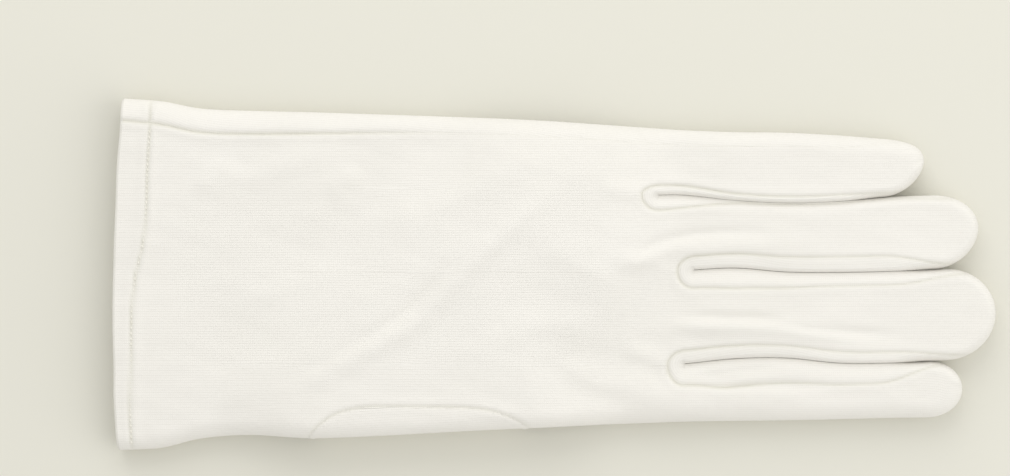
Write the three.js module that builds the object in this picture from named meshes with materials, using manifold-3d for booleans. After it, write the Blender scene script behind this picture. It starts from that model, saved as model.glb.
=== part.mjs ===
// A white knitted parade glove for the left hand. It lies flat with its back up and its thumb folded
// under the palm. Lengths are millimetres. x runs from the cuff's edge to the fingertips, y from the
// index finger's side to the little finger's side, and z up from the surface that the glove lies on.
import * as THREE from "three";
import { mergeVertices } from "three/addons/utils/BufferGeometryUtils.js";
import Module from "manifold-3d";

const wasm = await Module();
wasm.setup();

// Driving sizes
const GLOVE_LENGTH = 250;
const HAND_WIDTH = 95;
const CUFF_THICKNESS = 9.4;
const HAND_THICKNESS = 9.2;
const FINGER_THICKNESS = 9.6;
const EDGE_RADIUS = 5;
const CLOTH = 1;
const SEAM_GAP = 0.3;
const FINGER_GAP = 0.8;
const HEM_WIDTH = 7;
const SIDE_SEAM_INSET = 6.5;
const UNDER_SEAM_INSET = 5.5;
const FOURCHETTE_WIDTH = 4.5;
const FOURCHETTE_LOOP = 5;
const THUMB_THICKNESS = 5.4;
const THUMB_WIDTH = 26;
const THUMB_LENGTH = 79;
const THUMB_SEAM_START = 53.6;
const THUMB_SEAM_LENGTH = 63.3;
const THUMB_SEAM_DEPTH = 10;
const THUMB_LEAD = 15;
const FOLD_HEIGHT = 1.2;
const FOLD_WIDTH = 7;

// How finely the cloth is divided
const ROW_STEP = 11;
const LEAST_STEP = 2;
const STRIP_CELLS = 5;
const CAP_CELLS = 4;
const SILHOUETTE_CELLS = 40;
const LIFT_ROWS = 30;
const LIFT_COLUMNS = 12;
const ARC_CELLS = 12;
const PATCH_ROWS = 10;
const LOOP_CELLS = 6;

// The two sides of the glove and the lines between its fingers. along is a share of GLOVE_LENGTH, and
// the other columns are shares of HAND_WIDTH.
const LINE_COLUMNS = ["along", "indexEdge", "indexMiddle", "middleRing", "ringLittle", "littleEdge"];
const LINES = [
  [0.0, -0.015, 0.252, 0.522, 0.786, 1.044],
  [0.046, -0.008, 0.252, 0.522, 0.783, 1.035],
  [0.091, 0.02, 0.252, 0.522, 0.78, 1.014],
  [0.15, 0.032, 0.251, 0.522, 0.779, 1.007],
  [0.228, 0.025, 0.249, 0.522, 0.777, 1.002],
  [0.44, 0.052, 0.243, 0.522, 0.768, 0.982],
  [0.595, 0.066, 0.24, 0.523, 0.752, 0.957],
  [0.64, 0.0705, 0.246, 0.526, 0.753, 0.949],
  [0.7, 0.073, 0.262, 0.534, 0.737, 0.943],
  [0.76, 0.075, 0.264, 0.522, 0.729, 0.941],
  [0.82, 0.078, 0.249, 0.521, 0.734, 0.933],
  [0.88, 0.082, 0.249, 0.524, 0.748, 0.921],
  [0.94, 0.084, 0.255, 0.531, 0.753, 0.915],
  [1.0, 0.084, 0.258, 0.537, 0.753, 0.909],
].map((row) => Object.fromEntries(LINE_COLUMNS.map((name, k) => [name, row[k]])));

// reach is the fingertip's share of GLOVE_LENGTH, cap the length of its rounding as a share of the
// finger's width, and drift how far the tip leans to the little finger's side, a share of HAND_WIDTH.
const FINGERS = [
  { name: "index", low: "indexEdge", high: "indexMiddle", reach: 0.962, cap: 0.62, drift: 0 },
  { name: "middle", low: "indexMiddle", high: "middleRing", reach: 1.0, cap: 0.55, drift: 0 },
  { name: "ring", low: "middleRing", high: "ringLittle", reach: 0.98, cap: 0.62, drift: 0.01 },
  { name: "little", low: "ringLittle", high: "littleEdge", reach: 0.918, cap: 0.75, drift: 0.022 },
];

// Where two fingers part, a share of GLOVE_LENGTH, and how much of the strip between them shows on each
// finger, as shares of FOURCHETTE_WIDTH: first where they part, then further on. settle is the share of
// GLOVE_LENGTH over which the first becomes the second.
const CROTCHES = [
  {
    line: "indexMiddle",
    name: "fourchette_index_middle",
    reach: 0.644,
    low: [1.75, 1.25],
    high: [0.85, 0.7],
    settle: 0.24,
  },
  {
    line: "middleRing",
    name: "fourchette_middle_ring",
    reach: 0.655,
    low: [1.4, 0.85],
    high: [0.95, 1.0],
    settle: 0.16,
  },
  {
    line: "ringLittle",
    name: "fourchette_ring_little",
    reach: 0.614,
    low: [1.0, 0.25],
    high: [0.6, 0.4],
    settle: 0.104,
  },
];

// The seam inside the little finger's edge: along is a share of GLOVE_LENGTH, inset of SIDE_SEAM_INSET.
const SIDE_SEAM = [
  { along: 0.0, inset: 1.0 },
  { along: 0.09, inset: 1.08 },
  { along: 0.18, inset: 1.02 },
  { along: 0.365, inset: 0.76 },
  { along: 0.6, inset: 0.7 },
  { along: 0.8, inset: 0.6 },
  { along: 1.0, inset: 0.5 },
];

// The thumb's sections, from its root to where its tip is rounded. rise and shift are shares of
// THUMB_LENGTH across and along the hand, turn is in degrees, and spread widens it towards its root.
const THUMB_SECTIONS = [
  { rise: 0.0, shift: 0.0, turn: 0, spread: 1.0 },
  { rise: 0.134, shift: 0.069, turn: 12, spread: 0.61 },
  { rise: 0.275, shift: 0.145, turn: 26, spread: 0.24 },
  { rise: 0.393, shift: 0.226, turn: 35, spread: 0.07 },
  { rise: 0.528, shift: 0.333, turn: 38, spread: 0.01 },
  { rise: 0.663, shift: 0.447, turn: 38, spread: 0.0 },
];

// The main folds on the back, each a ridge between two points. Places along the hand are shares of
// GLOVE_LENGTH, places across it of HAND_WIDTH, height of FOLD_HEIGHT and width of FOLD_WIDTH.
const FOLDS = [
  { fromAlong: 0.175, fromAcross: 0.126, toAlong: 0.34, toAcross: 0.375, height: 0.9, width: 1.0 },
  { fromAlong: 0.34, fromAcross: 0.375, toAlong: 0.496, toAcross: 0.807, height: 1.0, width: 1.1 },
  { fromAlong: 0.506, fromAcross: 0.27, toAlong: 0.63, toAcross: 0.17, height: 0.7, width: 0.9 },
  { fromAlong: 0.6, fromAcross: 0.35, toAlong: 0.86, toAcross: 0.33, height: 0.7, width: 0.7 },
  { fromAlong: 0.615, fromAcross: 0.6, toAlong: 0.82, toAcross: 0.64, height: 0.7, width: 0.7 },
  { fromAlong: 0.06, fromAcross: 0.732, toAlong: 0.267, toAcross: 0.93, height: 0.5, width: 1.2 },
];

const rad = THREE.MathUtils.degToRad;
const { clamp, lerp, smoothstep } = THREE.MathUtils;

// A smooth value read from a table's column at a place in its key column.
function readTable(table, key, column, at) {
  const last = table.length - 1;
  let row = 0;
  while (row < last - 1 && at > table[row + 1][key]) row += 1;
  const slope = (k) => {
    const a = table[Math.max(k - 1, 0)];
    const b = table[Math.min(k + 1, last)];
    return (b[column] - a[column]) / (b[key] - a[key]);
  };
  const from = table[row];
  const to = table[row + 1];
  const step = to[key] - from[key];
  const t = clamp((at - from[key]) / step, 0, 1);
  const rest = 1 - t;
  const start = rest * rest * (1 + 2 * t) * from[column] + rest * rest * t * step * slope(row);
  return start + t * t * (3 - 2 * t) * to[column] - t * t * rest * step * slope(row + 1);
}

const lineAt = (name, x) => HAND_WIDTH * readTable(LINES, "along", name, x / GLOVE_LENGTH);
const crotchOf = (line) => CROTCHES.find((crotch) => crotch.line === line);

// Half the width of the gap on a line at x: nothing before the fingers part, then a round end, then
// half of FINGER_GAP. An inset cloth line widens it.
function gapHalf(line, x, inset) {
  const crotch = crotchOf(line);
  if (!crotch) return inset;
  const radius = FINGER_GAP / 2 + inset;
  const centre = GLOVE_LENGTH * crotch.reach + FINGER_GAP / 2;
  const t = clamp((centre - x) / radius, 0, 1);
  return radius * Math.sqrt(1 - t * t);
}

// The two sides of a finger's strip at x, drawn together at its rounded tip.
function fingerSides(finger, x, inset) {
  const tip = GLOVE_LENGTH * finger.reach - inset;
  const width = lineAt(finger.high, tip) - lineAt(finger.low, tip);
  const capStart = GLOVE_LENGTH * finger.reach - finger.cap * width;
  const low = lineAt(finger.low, x) + gapHalf(finger.low, x, inset);
  const high = lineAt(finger.high, x) - gapHalf(finger.high, x, inset);
  const t = clamp((x - capStart) / (tip - capStart), 0, 1);
  const middle = (low + high) / 2 + HAND_WIDTH * finger.drift * t * t;
  const half = ((high - low) / 2) * Math.sqrt(1 - t * t);
  return { low: middle - half, high: middle + half, capStart, tip };
}

// Rows for the hand that all four strips share, closer together round each place where fingers part.
function sharedRows(start, inset) {
  const ends = CROTCHES.map((crotch) => GLOVE_LENGTH * crotch.reach - inset);
  const rows = [start, ...ends];
  for (const end of ends) rows.push(end + FINGER_GAP / 2 + inset);
  const last = Math.max(...ends) + FINGER_GAP / 2 + inset;
  const wanted = [];
  for (const end of ends) {
    for (const share of [0.2, 0.45, 1]) wanted.push(end - share * EDGE_RADIUS);
  }
  const steps = Math.ceil((last - start) / ROW_STEP);
  for (let k = 1; k < steps; k += 1) wanted.push(lerp(start, last, k / steps));
  for (const x of wanted) {
    if (rows.every((row) => Math.abs(row - x) > LEAST_STEP) && x < last) rows.push(x);
  }
  return rows.sort((a, b) => a - b);
}

// Rows of one finger alone, from the last shared row to its tip.
function fingerRows(finger, from, inset) {
  const { capStart, tip } = fingerSides(finger, from, inset);
  const rows = [];
  const steps = Math.ceil((capStart - from) / (2 * ROW_STEP));
  for (let k = 1; k <= steps; k += 1) rows.push(lerp(from, capStart, k / steps));
  for (let k = 1; k <= CAP_CELLS; k += 1) {
    rows.push(lerp(capStart, tip, Math.sin((Math.PI / 2) * (k / CAP_CELLS))));
  }
  return rows;
}

// Shares across a strip, closer together towards both sides.
const ACROSS = Array.from({ length: STRIP_CELLS + 1 }, (_, k) => {
  const even = k / STRIP_CELLS;
  return lerp(even, (1 - Math.cos(Math.PI * even)) / 2, 0.85);
});

// The distance in plan from a point to a path.
function pathDistance(path, x, y) {
  let best = Infinity;
  for (let k = 1; k < path.length; k += 1) {
    const [ax, ay] = path[k - 1];
    const [bx, by] = path[k];
    const span = (bx - ax) ** 2 + (by - ay) ** 2 || 1;
    const t = clamp(((x - ax) * (bx - ax) + (y - ay) * (by - ay)) / span, 0, 1);
    best = Math.min(best, Math.hypot(x - lerp(ax, bx, t), y - lerp(ay, by, t)));
  }
  return best;
}

// Whether a point lies inside a closed outline.
function isInside(outline, x, y) {
  let inside = false;
  for (let k = 0, j = outline.length - 1; k < outline.length; j = k, k += 1) {
    const [ax, ay] = outline[k];
    const [bx, by] = outline[j];
    if (ay > y !== by > y && x < ((bx - ax) * (y - ay)) / (by - ay) + ax) inside = !inside;
  }
  return inside;
}

// The glove's silhouette, without its open cuff end, as one path for each side and each gap.
function silhouette(start, inset) {
  const paths = [];
  const sideRows = (finger, from) => {
    const { capStart, tip } = fingerSides(finger, from, inset);
    const rows = [];
    for (let k = 0; k <= SILHOUETTE_CELLS; k += 1) rows.push(lerp(from, capStart, k / SILHOUETTE_CELLS));
    for (let k = 1; k <= 3 * CAP_CELLS; k += 1) {
      rows.push(lerp(capStart, tip, Math.sin((Math.PI / 2) * (k / (3 * CAP_CELLS)))));
    }
    return rows;
  };
  for (const finger of FINGERS) {
    for (const side of ["low", "high"]) {
      const crotch = crotchOf(finger[side]);
      const from = crotch ? GLOVE_LENGTH * crotch.reach - inset : start;
      paths.push(sideRows(finger, from).map((x) => [x, fingerSides(finger, x, inset)[side]]));
    }
  }
  return paths;
}

// The thumb's root takes most of its patch, and its seam is an arc that leans towards the cuff.
const THUMB_ROOT_SHARE = 0.43;
const THUMB_SEAM_POWER = 4.5;
const THUMB_SEAM_LEAN = 0.4;

// Thumb sections
const THUMB_ROOT_X = THUMB_SEAM_START + THUMB_SEAM_LENGTH / 2;
const THUMB_ROOT_Y = lineAt("indexEdge", THUMB_ROOT_X) + EDGE_RADIUS;
const THUMB_ROOT_HALF = THUMB_ROOT_SHARE * THUMB_SEAM_LENGTH;

// One section of the thumb at a share of the way from its root to its rounded tip.
function thumbSection(share) {
  const rows = THUMB_SECTIONS.map((row, k) => ({ ...row, place: k / (THUMB_SECTIONS.length - 1) }));
  const read = (column) => readTable(rows, "place", column, share);
  const turn = rad(read("turn"));
  const half = THUMB_WIDTH / 2 + read("spread") * (THUMB_ROOT_HALF - THUMB_WIDTH / 2);
  const x = THUMB_ROOT_X + THUMB_LENGTH * read("shift");
  const y = THUMB_ROOT_Y + THUMB_LENGTH * read("rise");
  return { x, y, turn, half };
}

// All sections of the thumb, then those of its round tip. back starts it further towards the edge.
function thumbSections(inset, back) {
  const list = [];
  const count = 2 * (THUMB_SECTIONS.length - 1);
  for (let k = 0; k <= count; k += 1) {
    const section = thumbSection(k / count);
    list.push({ ...section, half: section.half - inset });
  }
  if (back > 0) list.unshift({ ...list[0], y: list[0].y - back });
  const end = thumbSection(1);
  const capLength = THUMB_WIDTH / 2 - inset;
  for (let k = 1; k <= CAP_CELLS; k += 1) {
    const angle = (Math.PI / 2) * (k / CAP_CELLS);
    const ahead = capLength * Math.sin(angle);
    const x = end.x + ahead * Math.sin(end.turn);
    const y = end.y + ahead * Math.cos(end.turn);
    list.push({ x, y, turn: end.turn, half: (end.half - inset) * Math.cos(angle) });
  }
  return list;
}

const sectionPoint = (section, across) => [
  section.x + across * section.half * Math.cos(section.turn),
  section.y - across * section.half * Math.sin(section.turn),
];

// The thumb's own outline in plan, run out past the edge of the hand at its root.
const THUMB_OUTLINE = (() => {
  const sections = thumbSections(0, 0);
  const cuffSide = sections.map((section) => sectionPoint(section, -1));
  const fingerSide = sections.map((section) => sectionPoint(section, 1)).reverse();
  const out = THUMB_ROOT_Y - 3 * EDGE_RADIUS;
  return [[cuffSide[0][0], out], ...cuffSide, ...fingerSide, [fingerSide.at(-1)[0], out]];
})();

// How far the hand is lifted by the thumb under it.
function lift(x, y) {
  if (isInside(THUMB_OUTLINE, x, y)) return THUMB_THICKNESS + SEAM_GAP;
  const away = pathDistance([...THUMB_OUTLINE, THUMB_OUTLINE[0]], x, y);
  return (THUMB_THICKNESS + SEAM_GAP) * (1 - smoothstep(away, THUMB_LEAD / 3, (4 / 3) * THUMB_LEAD));
}

function thickness(x) {
  const share = x / GLOVE_LENGTH;
  const hand = lerp(CUFF_THICKNESS, HAND_THICKNESS, smoothstep(share, 0.05, 0.3));
  return lerp(hand, FINGER_THICKNESS, smoothstep(share, 0.55, 0.7));
}

// The height of the folds on the back at a point: each is a soft ridge that fades at both ends.
function folds(x, y) {
  let height = 0;
  for (const fold of FOLDS) {
    const ax = fold.fromAlong * GLOVE_LENGTH;
    const ay = fold.fromAcross * HAND_WIDTH;
    const bx = fold.toAlong * GLOVE_LENGTH;
    const by = fold.toAcross * HAND_WIDTH;
    const away = pathDistance([[ax, ay], [bx, by]], x, y) / (fold.width * FOLD_WIDTH);
    height += FOLD_HEIGHT * fold.height * Math.exp(-3 * away * away);
  }
  return height;
}

// The round rise of the cloth from its edge: a quarter of an ellipse, then flat.
function rise(distance, radius) {
  const q = clamp(distance / radius, 0, 1);
  return Math.sqrt(1 - (1 - q) * (1 - q));
}

// Turns loose triangles into a solid, dropping those that have no area.
function solidOf(points, faces) {
  const geometry = new THREE.BufferGeometry();
  geometry.setAttribute("position", new THREE.Float32BufferAttribute(points.flat(), 3));
  geometry.setIndex(faces.flat());
  return solidOfGeometry(geometry);
}

function solidOfGeometry(source) {
  const geometry = source.clone();
  geometry.deleteAttribute("normal");
  geometry.deleteAttribute("uv");
  const merged = mergeVertices(geometry, 1e-4);
  const index = merged.index.array;
  const kept = [];
  for (let k = 0; k < index.length; k += 3) {
    const [a, b, c] = [index[k], index[k + 1], index[k + 2]];
    if (a !== b && b !== c && c !== a) kept.push(a, b, c);
  }
  const vertProperties = new Float32Array(merged.attributes.position.array);
  const triVerts = new Uint32Array(kept);
  return new wasm.Manifold(new wasm.Mesh({ numProp: 3, vertProperties, triVerts }));
}

// A solid between an upper and a lower height over grids of rows. Rows named in open get an end wall,
// and sides that don't meet get a side wall.
function solidBetween(grids, top, bottom, openRows, walledSides = false) {
  const points = [];
  const faces = [];
  for (const grid of grids) {
    const columns = grid.points[0].length;
    const start = points.length;
    const layer = grid.points.length * columns;
    for (const height of [top, bottom]) {
      for (const row of grid.points) {
        for (const point of row) points.push([point.x, point.y, height(point)]);
      }
    }
    const at = (row, column, low) => start + (low ? layer : 0) + row * columns + column;
    for (let row = 0; row + 1 < grid.points.length; row += 1) {
      for (let column = 0; column + 1 < columns; column += 1) {
        const corners = [at(row, column), at(row + 1, column), at(row + 1, column + 1), at(row, column + 1)];
        faces.push([corners[0], corners[1], corners[2]], [corners[0], corners[2], corners[3]]);
        const [a, b, c, d] = corners.map((corner) => corner + layer);
        faces.push([a, c, b], [a, d, c]);
      }
      if (walledSides) {
        const end = columns - 1;
        faces.push([at(row, 0), at(row, 0, true), at(row + 1, 0, true)]);
        faces.push([at(row, 0), at(row + 1, 0, true), at(row + 1, 0)]);
        faces.push([at(row, end), at(row + 1, end, true), at(row, end, true)]);
        faces.push([at(row, end), at(row + 1, end), at(row + 1, end, true)]);
      }
    }
    for (const open of openRows) {
      const row = open < 0 ? grid.points.length + open : open;
      for (let column = 0; column + 1 < columns; column += 1) {
        const quad = [at(row, column), at(row, column + 1), at(row, column + 1, true), at(row, column, true)];
        if (row !== 0) quad.reverse();
        faces.push([quad[0], quad[1], quad[2]], [quad[0], quad[2], quad[3]]);
      }
    }
  }
  return solidOf(points, faces);
}

// The filled form of the glove without its thumb, drawn in from the outside by inset, from x = start.
function handForm(inset, start) {
  const shared = sharedRows(start, inset);
  const paths = silhouette(start, inset);
  const from = shared.at(-1);
  const grids = FINGERS.map((finger) => {
    const rows = [...shared, ...fingerRows(finger, from, inset)];
    const points = rows.map((x) => {
      const sides = fingerSides(finger, x, inset);
      return ACROSS.map((share) => {
        const y = lerp(sides.low, sides.high, share);
        const side = share === 0 ? finger.low : share === 1 ? finger.high : null;
        const crotch = crotchOf(side);
        const parted = side && (!crotch || x >= GLOVE_LENGTH * crotch.reach - inset - 1e-6);
        const distance = parted ? 0 : Math.min(...paths.map((path) => pathDistance(path, x, y)));
        return { x, y, rise: rise(distance, EDGE_RADIUS - inset) };
      });
    });
    return { points };
  });
  const half = (point) => (thickness(point.x) / 2 - inset) * point.rise;
  const middle = (point) => lift(point.x, point.y) + thickness(point.x) / 2;
  const top = (point) => middle(point) + half(point) + folds(point.x, point.y) * point.rise;
  const bottom = (point) => middle(point) - half(point);
  return solidBetween(grids, top, bottom, [0]);
}

// Plan places well past both sides of the glove, where cutting bodies end.
const BELOW = -0.3 * HAND_WIDTH;
const BEYOND = 1.3 * HAND_WIDTH;

// Everything above the middle height of the cloth, less drop.
function upperHalf(drop) {
  const points = [];
  for (let row = 0; row <= LIFT_ROWS; row += 1) {
    const x = lerp(-2 * EDGE_RADIUS, GLOVE_LENGTH + EDGE_RADIUS, row / LIFT_ROWS);
    const line = [];
    for (let column = 0; column <= LIFT_COLUMNS; column += 1) {
      line.push({ x, y: lerp(BELOW, BEYOND, column / LIFT_COLUMNS) });
    }
    points.push(line);
  }
  const bottom = (point) => lift(point.x, point.y) + thickness(point.x) / 2 - drop;
  const top = () => 4 * HAND_THICKNESS;
  return solidBetween([{ points }], top, bottom, [0, -1], true);
}

// An upright block over a plan outline, as high as anything here.
function block(outline) {
  const shape = new THREE.Shape(outline.map(([x, y]) => new THREE.Vector2(x, y)));
  const geometry = new THREE.ExtrudeGeometry(shape, { depth: 8 * HAND_THICKNESS, bevelEnabled: false });
  geometry.translate(0, 0, -2 * HAND_THICKNESS);
  return solidOfGeometry(geometry);
}

// Where a seam ends on a finger's rounded tip, as a share of the rounding, and how far in from the edge
// it still is there.
const SEAM_END_SHARE = 0.75;
const SEAM_END_INSET = 1.3;
const seamEnd = (capStart, tip) => lerp(capStart, tip, SEAM_END_SHARE);

// How far in from a finger's edge a seam lies at x. It is as wanted along the finger, then runs nearly
// straight over the tip while the edge curves in to meet it.
function seamInset(finger, x, wanted) {
  const { capStart, tip } = fingerSides(finger, x, 0);
  const half = (lineAt(finger.high, x) - lineAt(finger.low, x)) / 2;
  const drawnIn = (share) => half * (1 - Math.sqrt(1 - share * share));
  const here = drawnIn(clamp((x - capStart) / (tip - capStart), 0, 1));
  const start = capStart - 3 * EDGE_RADIUS;
  const atEnd = drawnIn(SEAM_END_SHARE) + SEAM_END_INSET;
  return lerp(wanted, atEnd, smoothstep(x, start, seamEnd(capStart, tip))) - here;
}

function seamRows(finger, from) {
  const { capStart, tip } = fingerSides(finger, from, 0);
  const end = seamEnd(capStart, tip);
  const rows = [];
  const steps = Math.ceil((capStart - from) / ROW_STEP);
  for (let k = 0; k < steps; k += 1) rows.push(lerp(from, capStart, k / steps));
  for (let k = 0; k <= 4; k += 1) rows.push(lerp(capStart, end, k / 4));
  return rows;
}

// The plan of the strip between two fingers: along one finger's seam, back along the other's and round
// the loop before the fingers part.
function fourchetteOutline(crotch, grow) {
  const lowFinger = FINGERS.find((finger) => finger.high === crotch.line);
  const highFinger = FINGERS.find((finger) => finger.low === crotch.line);
  const end = GLOVE_LENGTH * crotch.reach;
  const seam = (finger, shown, side) => {
    const way = side === "high" ? -1 : 1;
    return seamRows(finger, end).map((x) => {
      const settled = smoothstep(x, end, end + GLOVE_LENGTH * crotch.settle);
      const wanted = FOURCHETTE_WIDTH * lerp(shown[0], shown[1], settled);
      return [x, fingerSides(finger, x, 0)[side] + way * (seamInset(finger, x, wanted) + grow)];
    });
  };
  const low = seam(lowFinger, crotch.low, "high");
  const high = seam(highFinger, crotch.high, "low");
  const loop = [];
  const middle = lineAt(crotch.line, end);
  for (let k = 1; k < LOOP_CELLS; k += 1) {
    const angle = Math.PI * (k / LOOP_CELLS);
    const across = Math.cos(angle);
    const inset = across > 0 ? high[0][1] - middle : middle - low[0][1];
    loop.push([end - (FOURCHETTE_LOOP + grow) * Math.sin(angle), middle + inset * across]);
  }
  const lowEnd = low.at(-1)[0] + grow;
  const highEnd = high.at(-1)[0] + grow;
  const gapPoints = [[lowEnd, low.at(-1)[1]], [lowEnd, lineAt(crotch.line, lowEnd)]];
  gapPoints.push([highEnd, lineAt(crotch.line, highEnd)], [highEnd, high.at(-1)[1]]);
  return [...loop, ...low, ...gapPoints, ...high.reverse()];
}

// The plan of the band of cloth along one side of the glove, from the cuff to the outer finger's tip.
function sideBand(finger, side, insetAt, grow) {
  const start = -2 * EDGE_RADIUS;
  const way = side === "high" ? -1 : 1;
  const rows = seamRows(finger, start);
  const seam = rows.map((x) => {
    const inset = seamInset(finger, x, insetAt(Math.max(x, 0))) + grow;
    return [x, fingerSides(finger, x, 0)[side] + way * inset];
  });
  const outside = side === "high" ? BEYOND : BELOW;
  const end = seam.at(-1)[0] + Math.max(grow, 0);
  return [...seam, [end, seam.at(-1)[1]], [end, outside], [start, outside]];
}

const littleSideInset = (x) => SIDE_SEAM_INSET * readTable(SIDE_SEAM, "along", "inset", x / GLOVE_LENGTH);
const indexSideInset = () => UNDER_SEAM_INSET;

// The plan of the thumb's patch: from the hand's edge in to the arc of its seam.
function thumbPatch(grow) {
  const outline = [];
  const start = THUMB_SEAM_START - grow;
  const length = THUMB_SEAM_LENGTH + 2 * grow;
  for (let k = 0; k <= ARC_CELLS; k += 1) {
    const u = (1 - Math.cos(Math.PI * (k / ARC_CELLS))) / 2;
    const x = start + length * u;
    const arc = 1 - Math.abs(2 * u - 1) ** THUMB_SEAM_POWER;
    const depth = THUMB_SEAM_DEPTH * (1 - THUMB_SEAM_LEAN * u) * arc + grow;
    outline.push([x, lineAt("indexEdge", x) + depth]);
  }
  return [...outline, [start + length, BELOW], [start, BELOW]];
}

// The thumb's edge of the hand: the hand's own top, carried round its edge and down to the floor.
function patchForm(inset) {
  const columns = [0, 0.07, 0.25, 0.55, 1, 1.9, 3.2];
  const first = THUMB_SEAM_START - EDGE_RADIUS;
  const last = THUMB_SEAM_START + THUMB_SEAM_LENGTH + EDGE_RADIUS;
  const points = [];
  for (let row = 0; row <= PATCH_ROWS; row += 1) {
    const x = lerp(first, last, row / PATCH_ROWS);
    points.push(
      columns.map((column) => {
        const distance = column * (EDGE_RADIUS - inset);
        const y = lineAt("indexEdge", x) + inset + distance;
        return { x, y, rise: rise(distance, EDGE_RADIUS - inset) };
      }),
    );
  }
  const middle = (point) => lift(point.x, point.y) + thickness(point.x) / 2;
  const top = (point) => {
    const half = (thickness(point.x) / 2 - inset) * point.rise;
    return middle(point) + half + folds(point.x, point.y) * point.rise;
  };
  const bottom = (point) => middle(point) - (middle(point) - inset) * point.rise;
  return solidBetween([{ points }], top, bottom, [0, -1], true);
}

// The thumb folded under the palm, drawn in by inset and started further back towards the edge by back.
function thumbForm(inset, back) {
  const sections = thumbSections(inset, back);
  const path = [
    ...sections.map((section) => sectionPoint(section, -1)),
    ...sections.map((section) => sectionPoint(section, 1)).reverse(),
  ];
  const radius = THUMB_THICKNESS / 2 - inset;
  const points = sections.map((section) =>
    ACROSS.map((share) => {
      const [x, y] = sectionPoint(section, 1 - 2 * share);
      const onSide = share === 0 || share === 1;
      return { x, y, rise: onSide ? 0 : rise(pathDistance(path, x, y), radius) };
    }),
  );
  const top = (point) => THUMB_THICKNESS / 2 + radius * point.rise;
  const bottom = (point) => THUMB_THICKNESS / 2 - radius * point.rise;
  return solidBetween([{ points }], top, bottom, [0]);
}

// Pieces
function buildPieces() {
  const outside = handForm(0, 0);
  const inside = handForm(CLOTH, -EDGE_RADIUS);
  const shell = outside.subtract(inside);

  const patch = block(thumbPatch(0));
  const cutFor = (grow) => {
    const little = FINGERS.at(-1);
    const index = FINGERS[0];
    const littleBand = block(sideBand(little, "high", littleSideInset, -grow));
    const indexBand = block(sideBand(index, "low", indexSideInset, grow));
    return upperHalf(grow).subtract(littleBand).add(indexBand);
  };
  const parted = [thumbPatch(SEAM_GAP), ...CROTCHES.map((crotch) => fourchetteOutline(crotch, SEAM_GAP))];
  let hand = shell;
  for (const outline of parted) hand = hand.subtract(block(outline));

  const pieces = {};
  pieces.back_panel = hand.intersect(cutFor(0));
  pieces.palm_panel = hand.subtract(cutFor(SEAM_GAP));
  for (const crotch of CROTCHES) {
    pieces[crotch.name] = shell.intersect(block(fourchetteOutline(crotch, 0)));
  }
  const thumbOutside = patchForm(0).intersect(patch).add(thumbForm(0, 0));
  const thumbInside = patchForm(CLOTH).intersect(block(thumbPatch(SEAM_GAP))).add(thumbForm(CLOTH, CLOTH));
  pieces.thumb = thumbOutside.subtract(thumbInside);

  const hemInset = CLOTH + SEAM_GAP;
  const hemPlan = [
    [-EDGE_RADIUS / 2, BELOW],
    [HEM_WIDTH, BELOW],
    [HEM_WIDTH, BEYOND],
    [-EDGE_RADIUS / 2, BEYOND],
  ];
  const hemLayer = handForm(hemInset, 0).subtract(handForm(hemInset + CLOTH, -EDGE_RADIUS));
  pieces.cuff_hem = hemLayer.intersect(block(hemPlan));
  return pieces;
}

// Cloth finishes
const KNIT_COLOUR = 0xf3f1e7;
const FINISHES = {
  back_panel: { color: KNIT_COLOUR, roughness: 0.93 },
  palm_panel: { color: 0xf1efe5, roughness: 0.93 },
  thumb: { color: 0xf1efe5, roughness: 0.93 },
  cuff_hem: { color: 0xefede2, roughness: 0.95 },
};

function meshOf(name, solid) {
  const mesh = solid.getMesh();
  const geometry = new THREE.BufferGeometry();
  geometry.setAttribute("position", new THREE.Float32BufferAttribute(mesh.vertProperties, 3));
  geometry.setIndex(Array.from(mesh.triVerts));
  geometry.computeVertexNormals();
  const finish = FINISHES[name] ?? FINISHES.back_panel;
  const material = new THREE.MeshStandardMaterial({ ...finish, metalness: 0 });
  const piece = new THREE.Mesh(geometry, material);
  piece.name = name;
  return piece;
}

const glove = new THREE.Group();
for (const [name, solid] of Object.entries(buildPieces())) glove.add(meshOf(name, solid));

// The origin is the middle of the glove's length and width, on the surface that it lies on.
const extent = new THREE.Box3().setFromObject(glove);
const centre = extent.getCenter(new THREE.Vector3());
for (const piece of glove.children) piece.position.set(-centre.x, -centre.y, -extent.min.z);

export default glove;
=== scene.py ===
"""A white knitted parade glove for the left hand, lying palm down with its thumb folded under the palm.

Every surface is a function of two parameters on a grid, worked out with numpy. In plan a point of the
glove is (x, y): x from the cuff's edge to the fingertips and y from the index finger's side to the little
finger's side. Its height comes from its distance to the glove's silhouette: the cloth rises from its edge
along a quarter of an ellipse and then lies flat, and folds, seams and the thumb below are added to that.
"""
import logging
import math
from dataclasses import dataclass, replace
from enum import Enum
from functools import partial

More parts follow.
